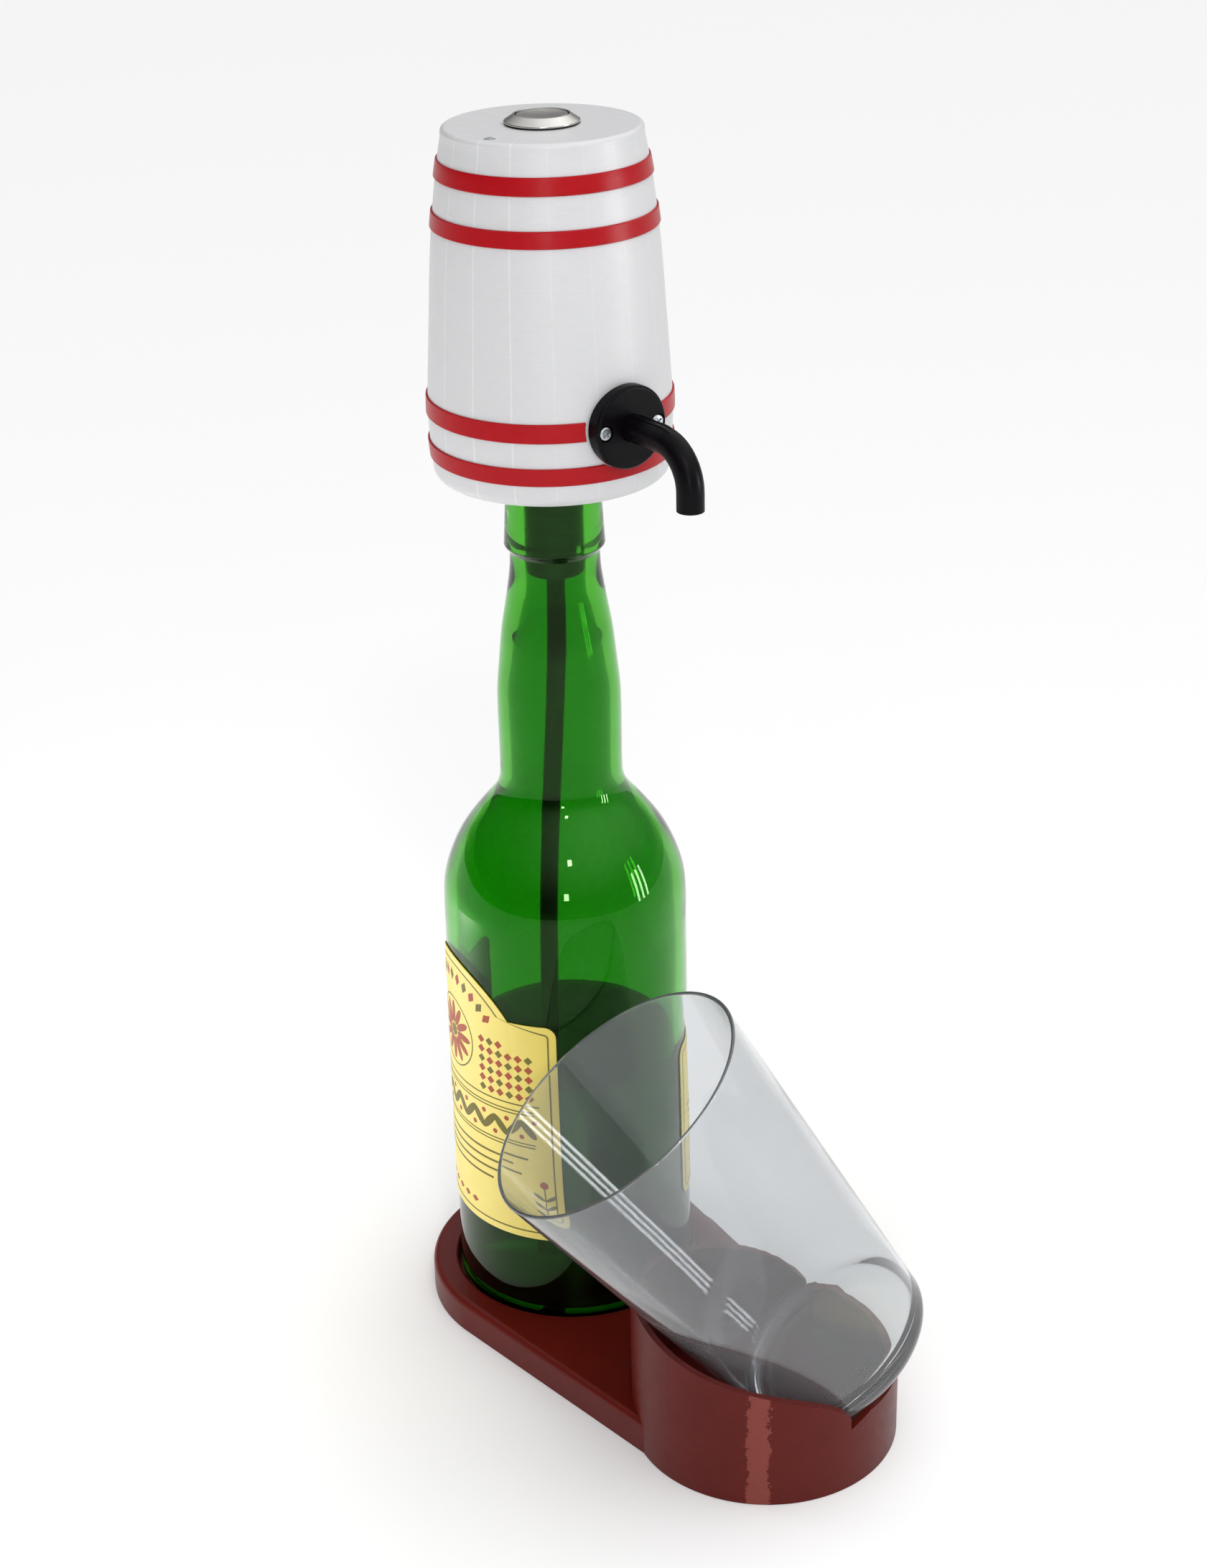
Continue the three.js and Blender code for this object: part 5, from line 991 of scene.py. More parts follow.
def flat_shape(bm, points):
    """One flat face on the sheet: points of place along the paper and height."""
    return bm.faces.new([bm.verts.new((x, 0, z)) for x, z in points])


def disc(bm, place, size, turn=0.0, sides=28):
    """A filled oval on the sheet."""
    matrix = (Matrix.Translation((place[0], 0, place[1])) @ Matrix.Rotation(turn, 4, "Y")
              @ Matrix.Diagonal((size[0], 1, size[1], 1)) @ Matrix.Rotation(math.pi / 2, 4, "X"))
    bmesh.ops.create_circle(bm, cap_ends=True, segments=sides, radius=1.0, matrix=matrix)


def band(bm, centre, radius, width, start, end, steps=40):
    """A bowed ribbon on the sheet: a short line spun about a centre, between two angles in degrees."""
    angle = math.radians(start)
    ends = [bm.verts.new((centre[0] + r * math.cos(angle), 0, centre[1] + r * math.sin(angle)))
            for r in (radius - width / 2, radius + width / 2)]
    line = bm.edges.new(ends)
    bmesh.ops.spin(bm, geom=[*ends, line], cent=(centre[0], 0, centre[1]), axis=(0, -1, 0),
                   angle=math.radians(end - start), steps=steps, use_merge=abs(end - start) >= 360)


def strip(bm, left, right, low, high):
    """An upright or level bar on the sheet."""
    flat_shape(bm, [(left, low), (right, low), (right, high), (left, high)])


def rule(bm, half, height, width=0.45):
    """A straight line across the middle of the sheet."""
    strip(bm, -half, half, height - width / 2, height + width / 2)


def wrap(bm, turn, inner, thickness, half):
    """Gives a flat sheet its thickness and bends it round the bottle."""
    for i in range(1, int(2 * half / FOLD)):
        bmesh.ops.bisect_plane(bm, geom=bm.verts[:] + bm.edges[:] + bm.faces[:],
                               plane_co=(-half + FOLD * i, 0, 0), plane_no=(1, 0, 0), dist=0.0005)
    bmesh.ops.recalc_face_normals(bm, faces=bm.faces)
    top = bmesh.ops.extrude_face_region(bm, geom=bm.faces[:])["geom"]
    bmesh.ops.translate(bm, vec=(0, thickness, 0), verts=only_verts(top))
    for vert in bm.verts:
        along, out, height = vert.co
        spot = Matrix.Rotation(turn + along / BOTTLE_RADIUS, 3, "Z") @ Vector((inner + out, 0, 0))
        vert.co = (spot.x, spot.y, height)
    bmesh.ops.recalc_face_normals(bm, faces=bm.faces)
    return bm


def label_outline(half, heights, arch_half=0.0, arch_rise=0.0, inset=0.0):
    """Outline of a label with round corners, and an arch on top where asked."""
    low, high = heights[0] + inset, heights[1] - inset
    side = half - inset
    corner = max(LABEL_CORNER - inset, 0.5)
    points = arc((side - corner, low + corner), corner, -90, 0, 8)
    points += arc((side - corner, high - corner), corner, 0, 90, 8)
    if arch_rise:
        radius = (arch_half ** 2 + arch_rise ** 2) / (2 * arch_rise)
        centre = heights[1] + arch_rise - radius
        span = math.degrees(math.asin(arch_half / radius)) * (1 - inset / arch_half)
        points += arc((0, centre), radius - inset, 90 - span, 90 + span, 24)
    points += arc((-side + corner, high - corner), corner, 90, 180, 8)
    points += arc((-side + corner, low + corner), corner, 180, 270, 8)
    return points


def frame_line(bm, outline, inner):
    """A thin closed line: what lies between an outline and a smaller one of as many points."""
    for corners in zip(outline, outline[1:] + outline[:1], inner[1:] + inner[:1], inner):
        flat_shape(bm, corners)
    bmesh.ops.remove_doubles(bm, verts=bm.verts, dist=NEAR)


def leaf(bm, place, length, turn):
    """A pointed leaf: a disc whose ends are drawn out."""
    before = set(bm.verts)
    disc(bm, place, (length / 2, length / 5), turn, 16)
    points = [vert for vert in bm.verts if vert not in before]
    middle = Vector((place[0], 0, place[1]))
    for vert in points:
        away = vert.co - middle
        vert.co = middle + away * (0.8 + 0.3 * (away.length / (length / 2)) ** 2)


def sprig(dark, russet, foot, height):
    """An upright stem with leaves in pairs and a berry on top."""
    middle, low = foot
    step = 4
    strip(dark, middle - 0.25, middle + 0.25, low, low + height)
    for i in range(int(height / step)):
        for side in (-1, 1):
            leaf(dark, (middle + side * 2.2, low + 2 + step * i), 4.4, -side * math.radians(35))
    disc(russet, (middle, low + height + 1.4), (1.5, 1.5))


def rosette(dark, russet, middle, radius, petals):
    """A flower of pointed petals round a disc, inside a ring."""
    band(dark, middle, radius + 1.4, 0.5, 0, 360, 64)
    for i in range(petals):
        angle = 2 * math.pi * i / petals
        reach = radius * 0.62
        place = (middle[0] + reach * math.cos(angle), middle[1] + reach * math.sin(angle))
        leaf(russet, place, radius * 0.7, -angle)
    disc(dark, middle, (radius * 0.2, radius * 0.2))


def make_front_print(dark, russet):
    """Design of the front label: an arch of lozenges, a rosette between two lattices, a garland and rules."""
    low, high = FRONT_LABEL_HEIGHTS
    frame_line(dark, *[label_outline(FRONT_LABEL_HALF, FRONT_LABEL_HEIGHTS, ARCH_HALF, ARCH_RISE, inset)
                       for inset in (2.4, 2.95)])
    arch_radius = (ARCH_HALF ** 2 + ARCH_RISE ** 2) / (2 * ARCH_RISE)
    arch_middle = high + ARCH_RISE - arch_radius
    for i in range(-5, 6):
        angle = math.radians(9.5 * i)
        spot = ((arch_radius - 7.5) * math.sin(angle), arch_middle + (arch_radius - 7.5) * math.cos(angle))
        disc(russet if i % 2 else dark, spot, (1.5, 2.4), angle, 4)
    rosette(dark, russet, (0, high - 14), 11.0, 12)
    for side in (-1, 1):
        for column in range(6):
            for row in range(6 - column // 3):
                disc(russet if (row + column) % 3 else dark,
                     (side * (17 + 3.6 * column), high - 27.5 + 3.6 * row), (1.5, 1.5), 0, 4)
    rule(dark, 38, high - 30.5, 0.5)
    # garland of leaves between two pairs of lines
    plaque = high - 40
    for height, half in ((plaque - 7, 36), (plaque - 5.8, 36), (plaque + 5.8, 36), (plaque + 7, 36)):
        rule(dark, half, height)
    for i in range(-7, 8):
        leaf(dark, (i * 4.8, plaque), 8.0, math.radians(50 if i % 2 else -50))
        disc(russet, (i * 4.8 + 2.4, plaque + (3.2 if i % 2 else -3.2)), (0.9, 0.9), 0, 16)
    for i, half in enumerate((33, 27, 30, 20)):
        rule(dark, half, plaque - 12 - 3.4 * i, 0.8)
    for side in (-1, 1):
        sprig(dark, russet, (side * 38, low + 5), 14)
    for side in (-2, -1, 0, 1, 2):
        disc(russet, (side * 5, low + 7), (1.8, 1.2), 0, 4)


def make_back_print(dark, russet):
    """Design of the back label: a frame, a sprig and rules."""
    low, high = BACK_LABEL_HEIGHTS
    frame_line(dark, *[label_outline(BACK_LABEL_HALF, BACK_LABEL_HEIGHTS, inset=inset)
                       for inset in (2.2, 2.7)])
    sprig(dark, russet, (0, high - 21), 14)
    for i in range(7):
        rule(dark, 13 - (i % 3) * 2.0, high - 26 - 3.6 * i, 0.8)


def make_labels():
    """Both paper labels with their print."""
    sizes, colours = panel_settings()
    inks = {"dark": offset_ink("Olive offset ink", colours.dark_ink),
            "russet": offset_ink("Russet offset ink", colours.russet_ink)}
    front = label_outline(FRONT_LABEL_HALF, FRONT_LABEL_HEIGHTS, ARCH_HALF, ARCH_RISE)
    back = label_outline(BACK_LABEL_HALF, BACK_LABEL_HEIGHTS)
    for name, outline, turn, half, draw in (
            ("front", front, FRONT_LABEL_TURN, FRONT_LABEL_HALF, make_front_print),
            ("back", back, BACK_LABEL_TURN, BACK_LABEL_HALF, make_back_print)):
        sheet = bmesh.new()
        flat_shape(sheet, outline)
        wrap(sheet, turn, PAPER_INNER, PAPER_OUTER - PAPER_INNER, half)
        finish_piece(sheet, name + "_paper", "bottle", "label_paper", [name + "_label"])
        prints = {"dark": bmesh.new(), "russet": bmesh.new()}
        draw(prints["dark"], prints["russet"])
        # the second ink lies a hair above the first, so that no two faces coincide
        lifts = {"dark": 0.0, "russet": 0.01}
        for ink, shapes in prints.items():
            wrap(shapes, turn, PAPER_OUTER + lifts[ink], sizes.ink_thickness * METRE, half)
            finish_piece(shapes, name + "_print_" + ink, "bottle", "label_paper", material=inks[ink])


def make_glass():
    """The glass: heavy foot, thin flaring wall and a round rim."""
    heel = GLASS_FLOOR + GLASS_INNER_HEEL
    inner = GLASS_FOOT_RADIUS - GLASS_WALL + GLASS_TAPER * (heel - GLASS_HEEL)
    half = GLASS_WALL / 2
    rim = arc((GLASS_RIM_RADIUS - half, GLASS_HEIGHT - half), half, 0, 180, 8)
    floor = arc((inner - GLASS_INNER_HEEL, heel), GLASS_INNER_HEEL, 0, -90, 10)
    glass = turned([*glass_outline()[:-1], *rim, *floor, (0, GLASS_FLOOR)], 144)
    finish_piece(placed(glass, glass_frame()), "glass", "glass", "clear_glass", ["cider_glass"],
                 sharp=math.radians(50))


def make_stopper():
    """The plug in the bottle's mouth, with its flange and three soft sealing ribs."""
    flange_radius, flange_thickness = STOPPER_FLANGE
    groove = PLUG_RADIUS - 0.25
    ribs = []
    for rise in RIB_HEIGHTS:
        height = STOPPER_LOW + rise
        ribs += [(groove, height - RIB_HALF), *arc((groove - 0.1, height), RIB_ROUND, -60, 60, 4),
                 (groove, height + RIB_HALF)]
    stopper = turned([
        (STOPPER_BORE, STOPPER_LOW),
        *arc((PLUG_RADIUS - PLUG_ROUND, STOPPER_LOW + PLUG_ROUND), PLUG_ROUND, -90, 0, 8), *ribs,
        (PLUG_RADIUS, STOPPER_TOP - flange_thickness),
        *arc((flange_radius - 0.5, STOPPER_TOP - flange_thickness + 0.5), 0.5, -90, 0, 4),
        *arc((flange_radius - 0.5, STOPPER_TOP - 0.5), 0.5, 0, 90, 4), (STOPPER_BORE, STOPPER_TOP)], 64)
    finish_piece(stopper, "stopper", "stopper", "black_rubber", ["bottle_stopper"])


def barrel_curve():
    """The barrel's side as points of radius and height above its foot."""
    points = [(radius * BARREL_BELLY, height * BARREL_HEIGHT) for height, radius in BARREL_SHARES]
    return [tuple(point) for point in smooth_path(points, 5)]


def barrel_radius(height):
    """Radius of the barrel's side at a height above its foot."""
    curve = barrel_curve()
    for (low_radius, low), (high_radius, high) in zip(curve, curve[1:]):
        if low <= height <= high:
            return low_radius + (high_radius - low_radius) * (height - low) / (high - low)
    raise ValueError("the height is outside the barrel's curved side")


def barrel_outline(grow, steps):
    """The barrel's outside from its foot round to its top, grown by a distance."""
    curve = barrel_curve()
    foot = (curve[0][0] - BARREL_FOOT_ROUND, curve[0][1])
    top = (curve[-1][0] - BARREL_TOP_ROUND, BARREL_HEIGHT - BARREL_TOP_ROUND)
    return [*arc(foot, BARREL_FOOT_ROUND + grow, -90, 0, steps)[:-1],
            *[(radius + grow, height) for radius, height in curve],
            *arc(top, BARREL_TOP_ROUND + grow, 0, 90, steps)[1:]]


def barrel_skin(grow, steps=128):
    """The barrel's outside as a solid, grown by a distance."""
    profile = [(0, -grow), *barrel_outline(grow, 8), (0, BARREL_HEIGHT + grow)]
    return moved(turned(profile, steps), 0, 0, BARREL_FOOT)


def make_barrel():
    """The barrel's shell, with the openings for the cover, the button, the light and the spout."""
    seat = COVER_TOP + COVER_GAP
    cover = seat - BARREL_FOOT
    roof = BARREL_HEIGHT - BARREL_TOP_WALL
    inner = [(radius - BARREL_WALL, height) for radius, height in barrel_curve()[::-1]
             if cover + 1 < height < roof - 3]
    shell = turned([
        (BARREL_MOUTH, 0), *barrel_outline(0, 10), (BUTTON_HOLE, BARREL_HEIGHT), (BUTTON_HOLE, roof),
        (inner[0][0] - 2.5, roof), (inner[0][0] - 0.4, roof - 1.5), *inner, (inner[-1][0], cover),
        (BARREL_MOUTH, cover)], 144)
    moved(shell, 0, 0, BARREL_FOOT)
    pad = along_x(rod(FLANGE_RADIUS, PAD_FACE, BARREL_BELLY, 48))
    shell = carved(shell, carved(pad, barrel_skin(-SKIN_INSET, 64), "INTERSECT"), "UNION")
    for turn in BOSS_TURNS:
        boss = moved(rod(BOSS_RADIUS, seat, seat + BOSS_HEIGHT, 24), BOSS_CIRCLE, 0, 0)
        web = block((BARREL_BELLY - BOSS_CIRCLE, BOSS_RADIUS, BOSS_HEIGHT),
                    ((BARREL_BELLY + BOSS_CIRCLE) / 2, 0, seat + BOSS_HEIGHT / 2))
        boss = carved(carved(boss, web, "UNION"), barrel_skin(-SKIN_INSET, 64), "INTERSECT")
        shell = carved(shell, placed(boss, Matrix.Rotation(turn, 4, "Z")), "UNION")
        hole = moved(rod(SCREW_BORE, COVER_TOP - PAST, COVER_TOP + BOSS_BORE_DEPTH, 16), BOSS_CIRCLE, 0, 0)
        shell = carved(shell, placed(hole, Matrix.Rotation(turn, 4, "Z")))
    shell = carved(shell, along_x(rod(SPOUT_HOLE, PAD_FACE - PAST, FLANGE_FACE + PAST, 32)))
    for side in (-1, 1):
        hole = along_x(rod(SCREW_BORE, PAD_FACE - PAST, FLANGE_FACE + PAST, 16))
        shell = carved(shell, moved(hole, 0, side * SCREW_SPREAD, 0))
    light = moved(rod(LED_HOLE, BARREL_TOP - 6, BARREL_TOP + PAST, 32), *LED_PLACE, 0)
    finish_piece(carved(shell, light), "barrel", "head", "white_print", ["barrel_shell"])


def make_hoops():
    """The four red hoops; the lower two stop at the spout's flange."""
    for name, shares in HOOP_SHARES.items():
        low, high = [share * BARREL_HEIGHT for share in shares]
        middle = (low + high) / 2
        foot, belly, top = [barrel_radius(height) for height in (low, middle, high)]
        hoop = turned([
            (foot + HOOP_PROUD - HOOP_EDGE, low), (foot + HOOP_PROUD, low + HOOP_EDGE),
            (belly + HOOP_PROUD, middle),
            (top + HOOP_PROUD, high - HOOP_EDGE), (top + HOOP_PROUD - HOOP_EDGE, high),
            (top + HOOP_GAP, high), (belly + HOOP_GAP, middle), (foot + HOOP_GAP, low)], 144)
        moved(hoop, 0, 0, BARREL_FOOT)
        if low < SPOUT_LEVEL - BARREL_FOOT + FLANGE_RADIUS:
            hoop = carved(hoop, along_x(rod(FLANGE_RADIUS + FLANGE_GAP, 0, FLANGE_FACE + PAST, 64)))
        finish_piece(hoop, name + "_band", "head", "red_print", [name])


def make_button():
    """The push-button: threaded body under a sloping bezel, the dished cap, its seal and its spring."""
    low, high = BEZEL_HEIGHTS
    skirt_end, floor_low, floor_high = BUTTON_DEPTHS
    bore = CAP_RADIUS + 0.3
    root, crest, pitch, turns = BUTTON_THREAD
    threads = []
    for i in range(turns):
        height = skirt_end + 0.4 + i * pitch
        threads += [(crest, height), (root, height + pitch / 2)]
    body = turned([
        (BUTTON_SKIRT, skirt_end), (root, skirt_end), *threads, (crest, -1.2), (crest, low),
        *arc((BEZEL_RADIUS - 0.2, low + 0.2), 0.2, -90, 0, 3),
        *arc((BEZEL_RADIUS - 0.3, low + 0.35), 0.3, 0, 55, 4),
        *arc((BEZEL_TOP_RADIUS - 0.1, high - 0.25), 0.25, 40, 90, 4), (bore + 0.1, high), (bore, high - 0.1),
        (bore, floor_high), (STEM_HOLE, floor_high), (STEM_HOLE, floor_low), (BUTTON_SKIRT, floor_low)], 96)
    finish_piece(moved(body, 0, 0, BARREL_TOP), "button_bezel", "head", "polished_metal", ["button_body"])

    cap_top = high - 0.1
    cap_low = cap_top - CAP_THICKNESS
    head_radius, head_low, head_high = STEM_HEAD
    cap = turned([
        (0, head_low), (head_radius, head_low), (head_radius, head_high), (STEM_RADIUS, head_high),
        (STEM_RADIUS, cap_low), (CAP_RADIUS, cap_low),
        *arc((CAP_RADIUS - 0.35, cap_top - 0.35), 0.35, 0, 90, 5), (CAP_RADIUS - 1.0, cap_top - 0.1),
        (CAP_RADIUS * 0.6, cap_top - 0.35), (0, cap_top - 0.5)], 96)
    finish_piece(moved(cap, 0, 0, BARREL_TOP), "button_top", "button", "polished_metal", ["button_cap"])

    seal = turned([*arc((BEZEL_RADIUS - 0.25, 0.25), 0.15, -90, 90, 5), (BEZEL_RADIUS - 1.3, 0.4),
                   (BEZEL_RADIUS - 1.3, 0.1)], 96)
    finish_piece(moved(seal, 0, 0, BARREL_TOP), "button_gasket", "head", "black_rubber", ["button_seal"])

    radius, wire, curls = BUTTON_SPRING
    spring_low, spring_high = [corner[2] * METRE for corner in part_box("button_spring")]
    start, end = spring_low + wire, spring_high - wire
    turns = int(curls * 24)
    angles = [2 * math.pi * curls * i / turns for i in range(turns + 1)]
    helix = [(radius * math.cos(angle), radius * math.sin(angle), start + (end - start) * i / turns)
             for i, angle in enumerate(angles)]
    coil = finish_piece(swept(helix, wire, 10), "button_coil", "head", "steel", ["button_spring"])
    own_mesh(coil)


def make_status_light():
    """The small grey lens beside the button."""
    lens = turned([(0, -LED_DEPTH), (LED_RADIUS, -LED_DEPTH), (LED_RADIUS, 0),
                   *arc((0, -2.4), 2.88, 56, 90, 5)[:-1], (0, 0.48)], 40)
    finish_piece(moved(lens, *LED_PLACE, BARREL_TOP), "status_lens", "head", "grey_plastic", ["status_led"])


def spout_path():
    """Middle line of the spout: level run, quarter bend, short drop."""
    start = FLANGE_FACE - 1.5
    bend = arc((SPOUT_TIP_X - SPOUT_BEND, SPOUT_LEVEL - SPOUT_BEND), SPOUT_BEND, 90, 0, 14)
    level = [(start + (SPOUT_TIP_X - SPOUT_BEND - start) * i / 4, SPOUT_LEVEL) for i in range(4)]
    drop = [(SPOUT_TIP_X, SPOUT_LEVEL - SPOUT_BEND - (SPOUT_DROP - SPOUT_BEND) * i / 3) for i in range(1, 4)]
    return [(x, 0, z) for x, z in level + bend + drop]


def make_spout():
    """The spout: round flange with two cross-head screws, and the bent tube with print ridges."""
    bevel = FLANGE_FACE - FLANGE_BEVEL
    socket_radius, socket_depth = SPOUT_SOCKET
    socket = FLANGE_FACE - socket_depth
    hub_end = socket - 0.3
    flange = along_x(turned([
        (NOZZLE_RADIUS, NOZZLE_END), (NOZZLE_RADIUS, FLANGE_BACK), (FLANGE_RADIUS, FLANGE_BACK),
        (FLANGE_RADIUS, bevel), *arc((FLANGE_RADIUS - FLANGE_BEVEL, bevel), FLANGE_BEVEL, 0, 90, 5),
        (socket_radius, FLANGE_FACE), (socket_radius, socket), (NOZZLE_BORE, socket),
        (NOZZLE_BORE, NOZZLE_END)], 96))
    hub = along_x(turned([(NOZZLE_BORE, NOZZLE_END), (NOZZLE_RADIUS, NOZZLE_END), (NOZZLE_RADIUS, hub_end),
                          (NOZZLE_BORE, hub_end)], 48))
    flange = carved(carved(flange, barrel_skin(GASKET)), hub, "UNION")
    head_radius, head_height = SCREW_HEAD
    for side, name in ((-1, "flange_screw_right"), (1, "flange_screw_left")):
        for radius, low in ((SCREW_BORE, PAD_FACE), (head_radius + SCREW_GAP, FLANGE_FACE - head_height)):
            hole = along_x(rod(radius, low, FLANGE_FACE + PAST, 32))
            flange = carved(flange, moved(hole, 0, side * SCREW_SPREAD, 0))
        finish_piece(cross_screw(side), name + "_head", "head", "zinc_steel", [name])
    finish_piece(flange, "flange", "head", "black_plastic", ["spout_flange"])

    tube = swept(spout_path(), SPOUT_RADIUS, 40, SPOUT_BORE)
    # two thin ridges that the print's supports left along the top
    ridge, aside = SPOUT_RIDGE
    out = SPOUT_RADIUS - ridge / 2
    for side in (-1, 1):
        crest = [(x + out * max(SPOUT_LEVEL - z, 0) / SPOUT_BEND * 0.9, side * aside,
                  z + out * (1 - max(SPOUT_LEVEL - z, 0) / SPOUT_BEND * 0.55))
                 for x, y, z in spout_path()[1:12]]
        tube = merged(tube, swept(crest, ridge, 10))
    finish_piece(tube, "spout", "head", "black_plastic", ["spout_tube"])


def cross_screw(side):
    """A pan-head screw with a cross recess, in the flange."""
    head_radius, head_height = SCREW_HEAD
    shank, length = SCREW_SHANK
    foot = FLANGE_FACE - head_height + 0.1
    top = foot + head_height
    screw = turned([
        (0, foot - length), (shank, foot - length), (shank, foot), (head_radius, foot),
        (head_radius, foot + head_height * 0.4), *arc((head_radius - 0.9, top - 0.9), 0.9, 10, 90, 5),
        (0, top)], 40)
    for turn in (0.6, math.pi / 2 + 0.6):
        screw = carved(screw, placed(block(SCREW_CROSS, (0, 0, top)), Matrix.Rotation(turn, 4, "Z")))
    return moved(along_x(screw), 0, side * SCREW_SPREAD, 0)


def make_lines():
    """Dip tube, hoses and wires as smooth swept pieces."""
    finish_piece(swept(smooth_path(DIP_TUBE_ROUTE), TUBE_RADIUS, 28, TUBE_BORE), "suction_tube", "head",
                 "black_plastic", ["dip_tube"])
    for name, route in (("inlet_hose", INLET_HOSE_ROUTE), ("outlet_hose", OUTLET_HOSE_ROUTE)):
        hose = swept(smooth_path(route), TUBE_RADIUS, 24, HOSE_BORE)
        finish_piece(hose, name + "_tube", "head", "hose_silicone", [name])
    for name, route in WIRE_ROUTES.items():
        slot = "black_wire" if name in ("battery_wire_bottom", "motor_wire", "led_wire") else "red_wire"
        wire = placed(swept(smooth_path(route), WIRE_RADIUS, 12), CHASSIS_TURN)
        finish_piece(wire, name + "_sleeve", "head", slot, [name])


def dress_frame():
    """Gives every construction piece that still shows the finish of its slot."""
    slots = {row["node"]: row["material_slot"] for row in frame["record"]["subparts"]}
    for name, node in frame["nodes"].items():
        for slot in node.material_slots:
            slot.material = finish_of(slots[name])


def softbox(name, place, target, size, power, glints=True, fills=True, through=False):
    """A rectangular studio light that looks at a target.

    It may show as glints, give soft light, and show through glass.
    """
    light = bpy.data.lights.new(name, "AREA")
    light.shape = "RECTANGLE"
    light.size, light.size_y = size
    light.energy = power
    lamp = bpy.data.objects.new(name, light)
    lamp.location = place
    lamp.rotation_euler = (Vector(target) - Vector(place)).to_track_quat("-Z", "Y").to_euler()
    lamp.visible_glossy = glints
    lamp.visible_transmission = through
    lamp.visible_diffuse = fills
    lamp.visible_camera = False
    bpy.context.scene.collection.objects.link(lamp)


def make_stage():
    """Pale floor, soft studio light and the camera at the photograph's angle."""
    floor = bmesh.new()
    bmesh.ops.create_grid(floor, x_segments=1, y_segments=1, size=FLOOR_SIZE,
                          matrix=Matrix.Translation((0, 0, FLOOR_LEVEL)))
    mesh = bpy.data.meshes.new("floor")
    floor.to_mesh(mesh)
    floor.free()
    ground = bpy.data.objects.new("floor", mesh)
    bpy.context.scene.collection.objects.link(ground)
    mesh.materials.append(start_material("Matt white paint", Base_Color=linear("#f7f7f7"), Roughness=0.9)[0])

    world = bpy.data.worlds.new("studio")
    world.use_nodes = True
    tree = world.node_tree
    background = tree.nodes["Background"]
    place = add_node(tree, "ShaderNodeTexCoord", {}).outputs["Generated"]
    axes = add_node(tree, "ShaderNodeSeparateXYZ", {"Vector": place})
    # brighter overhead than at the horizon
    rise = add_node(tree, "ShaderNodeMapRange", {
        "Value": axes.outputs["Z"], "From Min": 0.25, "From Max": 0.8, "To Min": 0.32, "To Max": 1.92})
    # brighter to the picture's right than to its left
    across = add_node(tree, "ShaderNodeVectorMath", {0: place, 1: PICTURE_RIGHT}, operation="DOT_PRODUCT")
    side = add_node(tree, "ShaderNodeMapRange", {
        "Value": across.outputs["Value"], "From Min": -1.0, "From Max": 0.6, "To Min": 0.08, "To Max": 1.06})
    both = add_node(tree, "ShaderNodeMath", {0: rise.outputs["Result"], 1: side.outputs["Result"]},
                    operation="MULTIPLY")
    # where a low view shows the sky itself, it is as pale as the floor
    ray = add_node(tree, "ShaderNodeLightPath", {})
    pale = add_node(tree, "ShaderNodeMath", {0: both.outputs[0], 1: ray.outputs["Is Camera Ray"]},
                    operation="MAXIMUM")
    tree.links.new(pale.outputs[0], background.inputs["Strength"])
    background.inputs["Color"].default_value = linear("#ffffff")
    bpy.context.scene.world = world
    bpy.context.scene.view_settings.view_transform = "Standard"

    # three window panes that only glint on the bottle and the glass, and two lamps that glint on the shoulder
    for i, place in enumerate(((1.3, 0.96, 0.38), (1.2, 1.08, 0.38), (1.09, 1.2, 0.38))):
        softbox("window_" + str(i + 1), place, LIGHTS_AIM, (0.065, 0.5), 2.4, fills=False, through=True)
    softbox("lamp_high", (1.04, -0.57, 1.29), LIGHTS_AIM, (0.12, 0.12), 2.4)
    softbox("lamp_low", (1.05, -0.73, 0.556), LIGHTS_AIM, (0.11, 0.11), 1.6)
    # a broad light from the camera's side, and a low one for the label, as from the table
    softbox("key", (1.4, -1.0, 1.3), LIGHTS_AIM, (1.2, 1.2), 5.5, glints=False)
    softbox("bounce", (-0.29, -0.29, 0.07), (0, 0, 0.09), (0.14, 0.1), 0.7, glints=False)

    camera = bpy.data.cameras.new("camera")
    camera.lens = CAMERA_LENS
    camera.sensor_width = CAMERA_SENSOR
    camera.clip_start = 0.01
    eye = bpy.data.objects.new("camera", camera)
    eye.matrix_world = (Matrix.Translation(Vector(CAMERA_PLACE) / METRE)
                        @ Matrix.Rotation(CAMERA_HEADING, 4, "Z")
                        @ Matrix.Rotation(math.pi / 2 - CAMERA_PITCH, 4, "X")
                        @ Matrix.Rotation(CAMERA_ROLL, 4, "Z"))
    bpy.context.scene.collection.objects.link(eye)
    bpy.context.scene.camera = eye


class POURER_OT_stage(bpy.types.Operator):
    """Adds the floor, the lights and the camera"""

    bl_idname = "pourer.stage"
    bl_label = "Stage"

    def execute(self, context):
        make_stage()
        return {"FINISHED"}


class POURER_OT_stand(bpy.types.Operator):
    """Adds the printed stand"""

    bl_idname = "pourer.stand"
    bl_label = "Stand"

    def execute(self, context):
        make_stand()
        return {"FINISHED"}


class POURER_OT_bottle(bpy.types.Operator):
    """Adds the green bottle and the cider in it"""

    bl_idname = "pourer.bottle"
    bl_label = "Bottle and Cider"

    def execute(self, context):
        make_bottle()
        make_cider()
        return {"FINISHED"}


class POURER_OT_labels(bpy.types.Operator):
    """Adds the paper labels and their print"""

    bl_idname = "pourer.labels"
    bl_label = "Labels"

    def execute(self, context):
        make_labels()
        return {"FINISHED"}


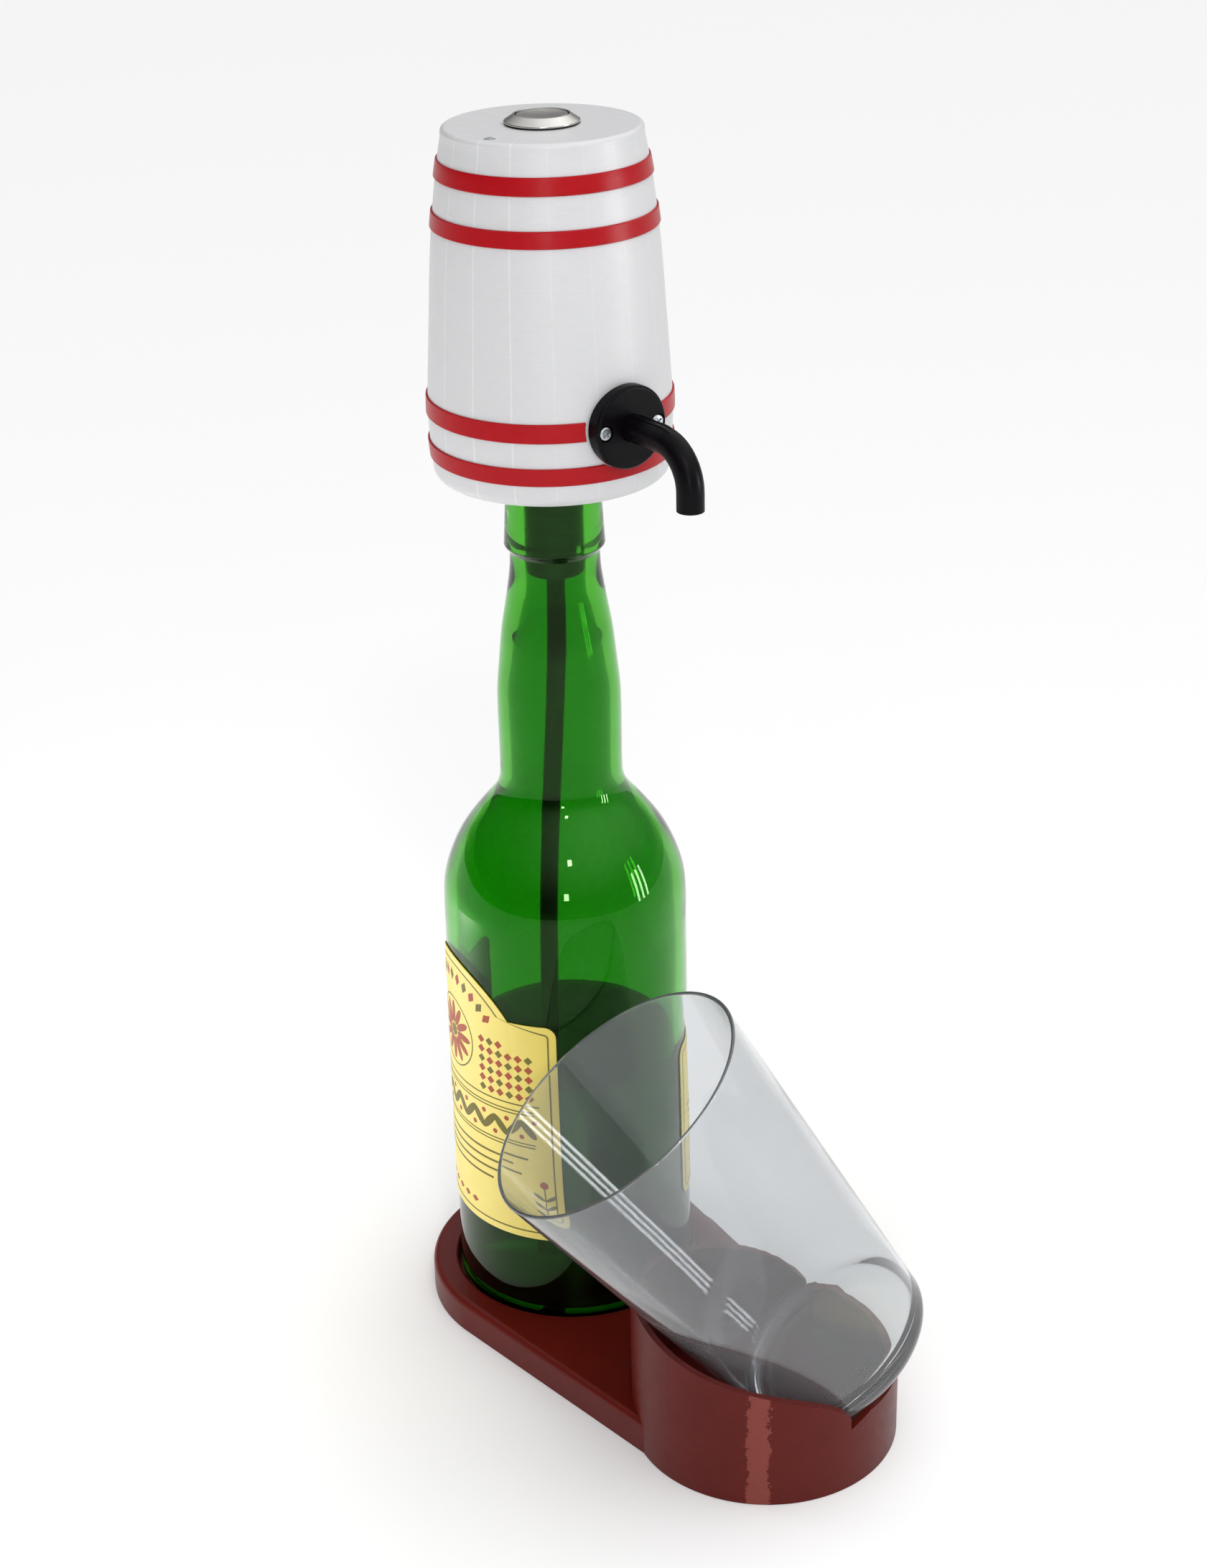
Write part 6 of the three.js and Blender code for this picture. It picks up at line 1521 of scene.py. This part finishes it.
class POURER_OT_glass(bpy.types.Operator):
    """Adds the leaning cider glass"""

    bl_idname = "pourer.glass"
    bl_label = "Glass"

    def execute(self, context):
        make_glass()
        return {"FINISHED"}


class POURER_OT_stopper(bpy.types.Operator):
    """Adds the plug in the bottle's mouth"""

    bl_idname = "pourer.stopper"
    bl_label = "Stopper"

    def execute(self, context):
        make_stopper()
        return {"FINISHED"}


class POURER_OT_barrel(bpy.types.Operator):
    """Adds the barrel's shell and its status light"""

    bl_idname = "pourer.barrel"
    bl_label = "Barrel"

    def execute(self, context):
        make_barrel()
        make_status_light()
        return {"FINISHED"}


class POURER_OT_hoops(bpy.types.Operator):
    """Adds the barrel's four hoops"""

    bl_idname = "pourer.hoops"
    bl_label = "Hoops"

    def execute(self, context):
        make_hoops()
        return {"FINISHED"}


class POURER_OT_button(bpy.types.Operator):
    """Adds the push-button, its seal and its spring"""

    bl_idname = "pourer.button"
    bl_label = "Push-Button"

    def execute(self, context):
        make_button()
        return {"FINISHED"}


class POURER_OT_spout(bpy.types.Operator):
    """Adds the spout, its flange and its screws"""

    bl_idname = "pourer.spout"
    bl_label = "Spout"

    def execute(self, context):
        make_spout()
        return {"FINISHED"}


class POURER_OT_lines(bpy.types.Operator):
    """Adds the dip tube, the hoses and the wires"""

    bl_idname = "pourer.lines"
    bl_label = "Tube, Hoses and Wires"

    def execute(self, context):
        make_lines()
        return {"FINISHED"}


class POURER_OT_inner(bpy.types.Operator):
    """Gives the inner construction pieces their finishes"""

    bl_idname = "pourer.inner"
    bl_label = "Inner Pieces"

    def execute(self, context):
        dress_frame()
        return {"FINISHED"}


OPERATORS = (
    POURER_OT_stage, POURER_OT_inner, POURER_OT_stand, POURER_OT_bottle, POURER_OT_labels, POURER_OT_glass,
    POURER_OT_stopper, POURER_OT_barrel, POURER_OT_hoops, POURER_OT_button, POURER_OT_spout, POURER_OT_lines,
)


class POURER_PT_panel(bpy.types.Panel):
    """Lists the pourer's pieces, sizes and colours"""

    bl_label = "Cider Pourer"
    bl_idname = "POURER_PT_panel"
    bl_space_type = "VIEW_3D"
    bl_region_type = "UI"
    bl_category = "Cider Pourer"

    def draw(self, context):
        layout = self.layout
        for group in (context.scene.pourer_sizes, context.scene.pourer_colours):
            for name in group.__annotations__:
                layout.prop(group, name)
        for operator in OPERATORS:
            layout.operator(operator.bl_idname)


CLASSES = (PourerSizes, PourerColours, *OPERATORS, POURER_PT_panel)


def register():
    for item in CLASSES:
        bpy.utils.register_class(item)
    bpy.types.Scene.pourer_sizes = PointerProperty(type=PourerSizes)
    bpy.types.Scene.pourer_colours = PointerProperty(type=PourerColours)


def unregister():
    del bpy.types.Scene.pourer_colours
    del bpy.types.Scene.pourer_sizes
    for item in reversed(CLASSES):
        bpy.utils.unregister_class(item)


def main():
    """Builds everything."""
    register()
    for operator in OPERATORS:
        group, name = operator.bl_idname.split(".")
        getattr(getattr(bpy.ops, group), name)()


if __name__ == "__main__":
    main()
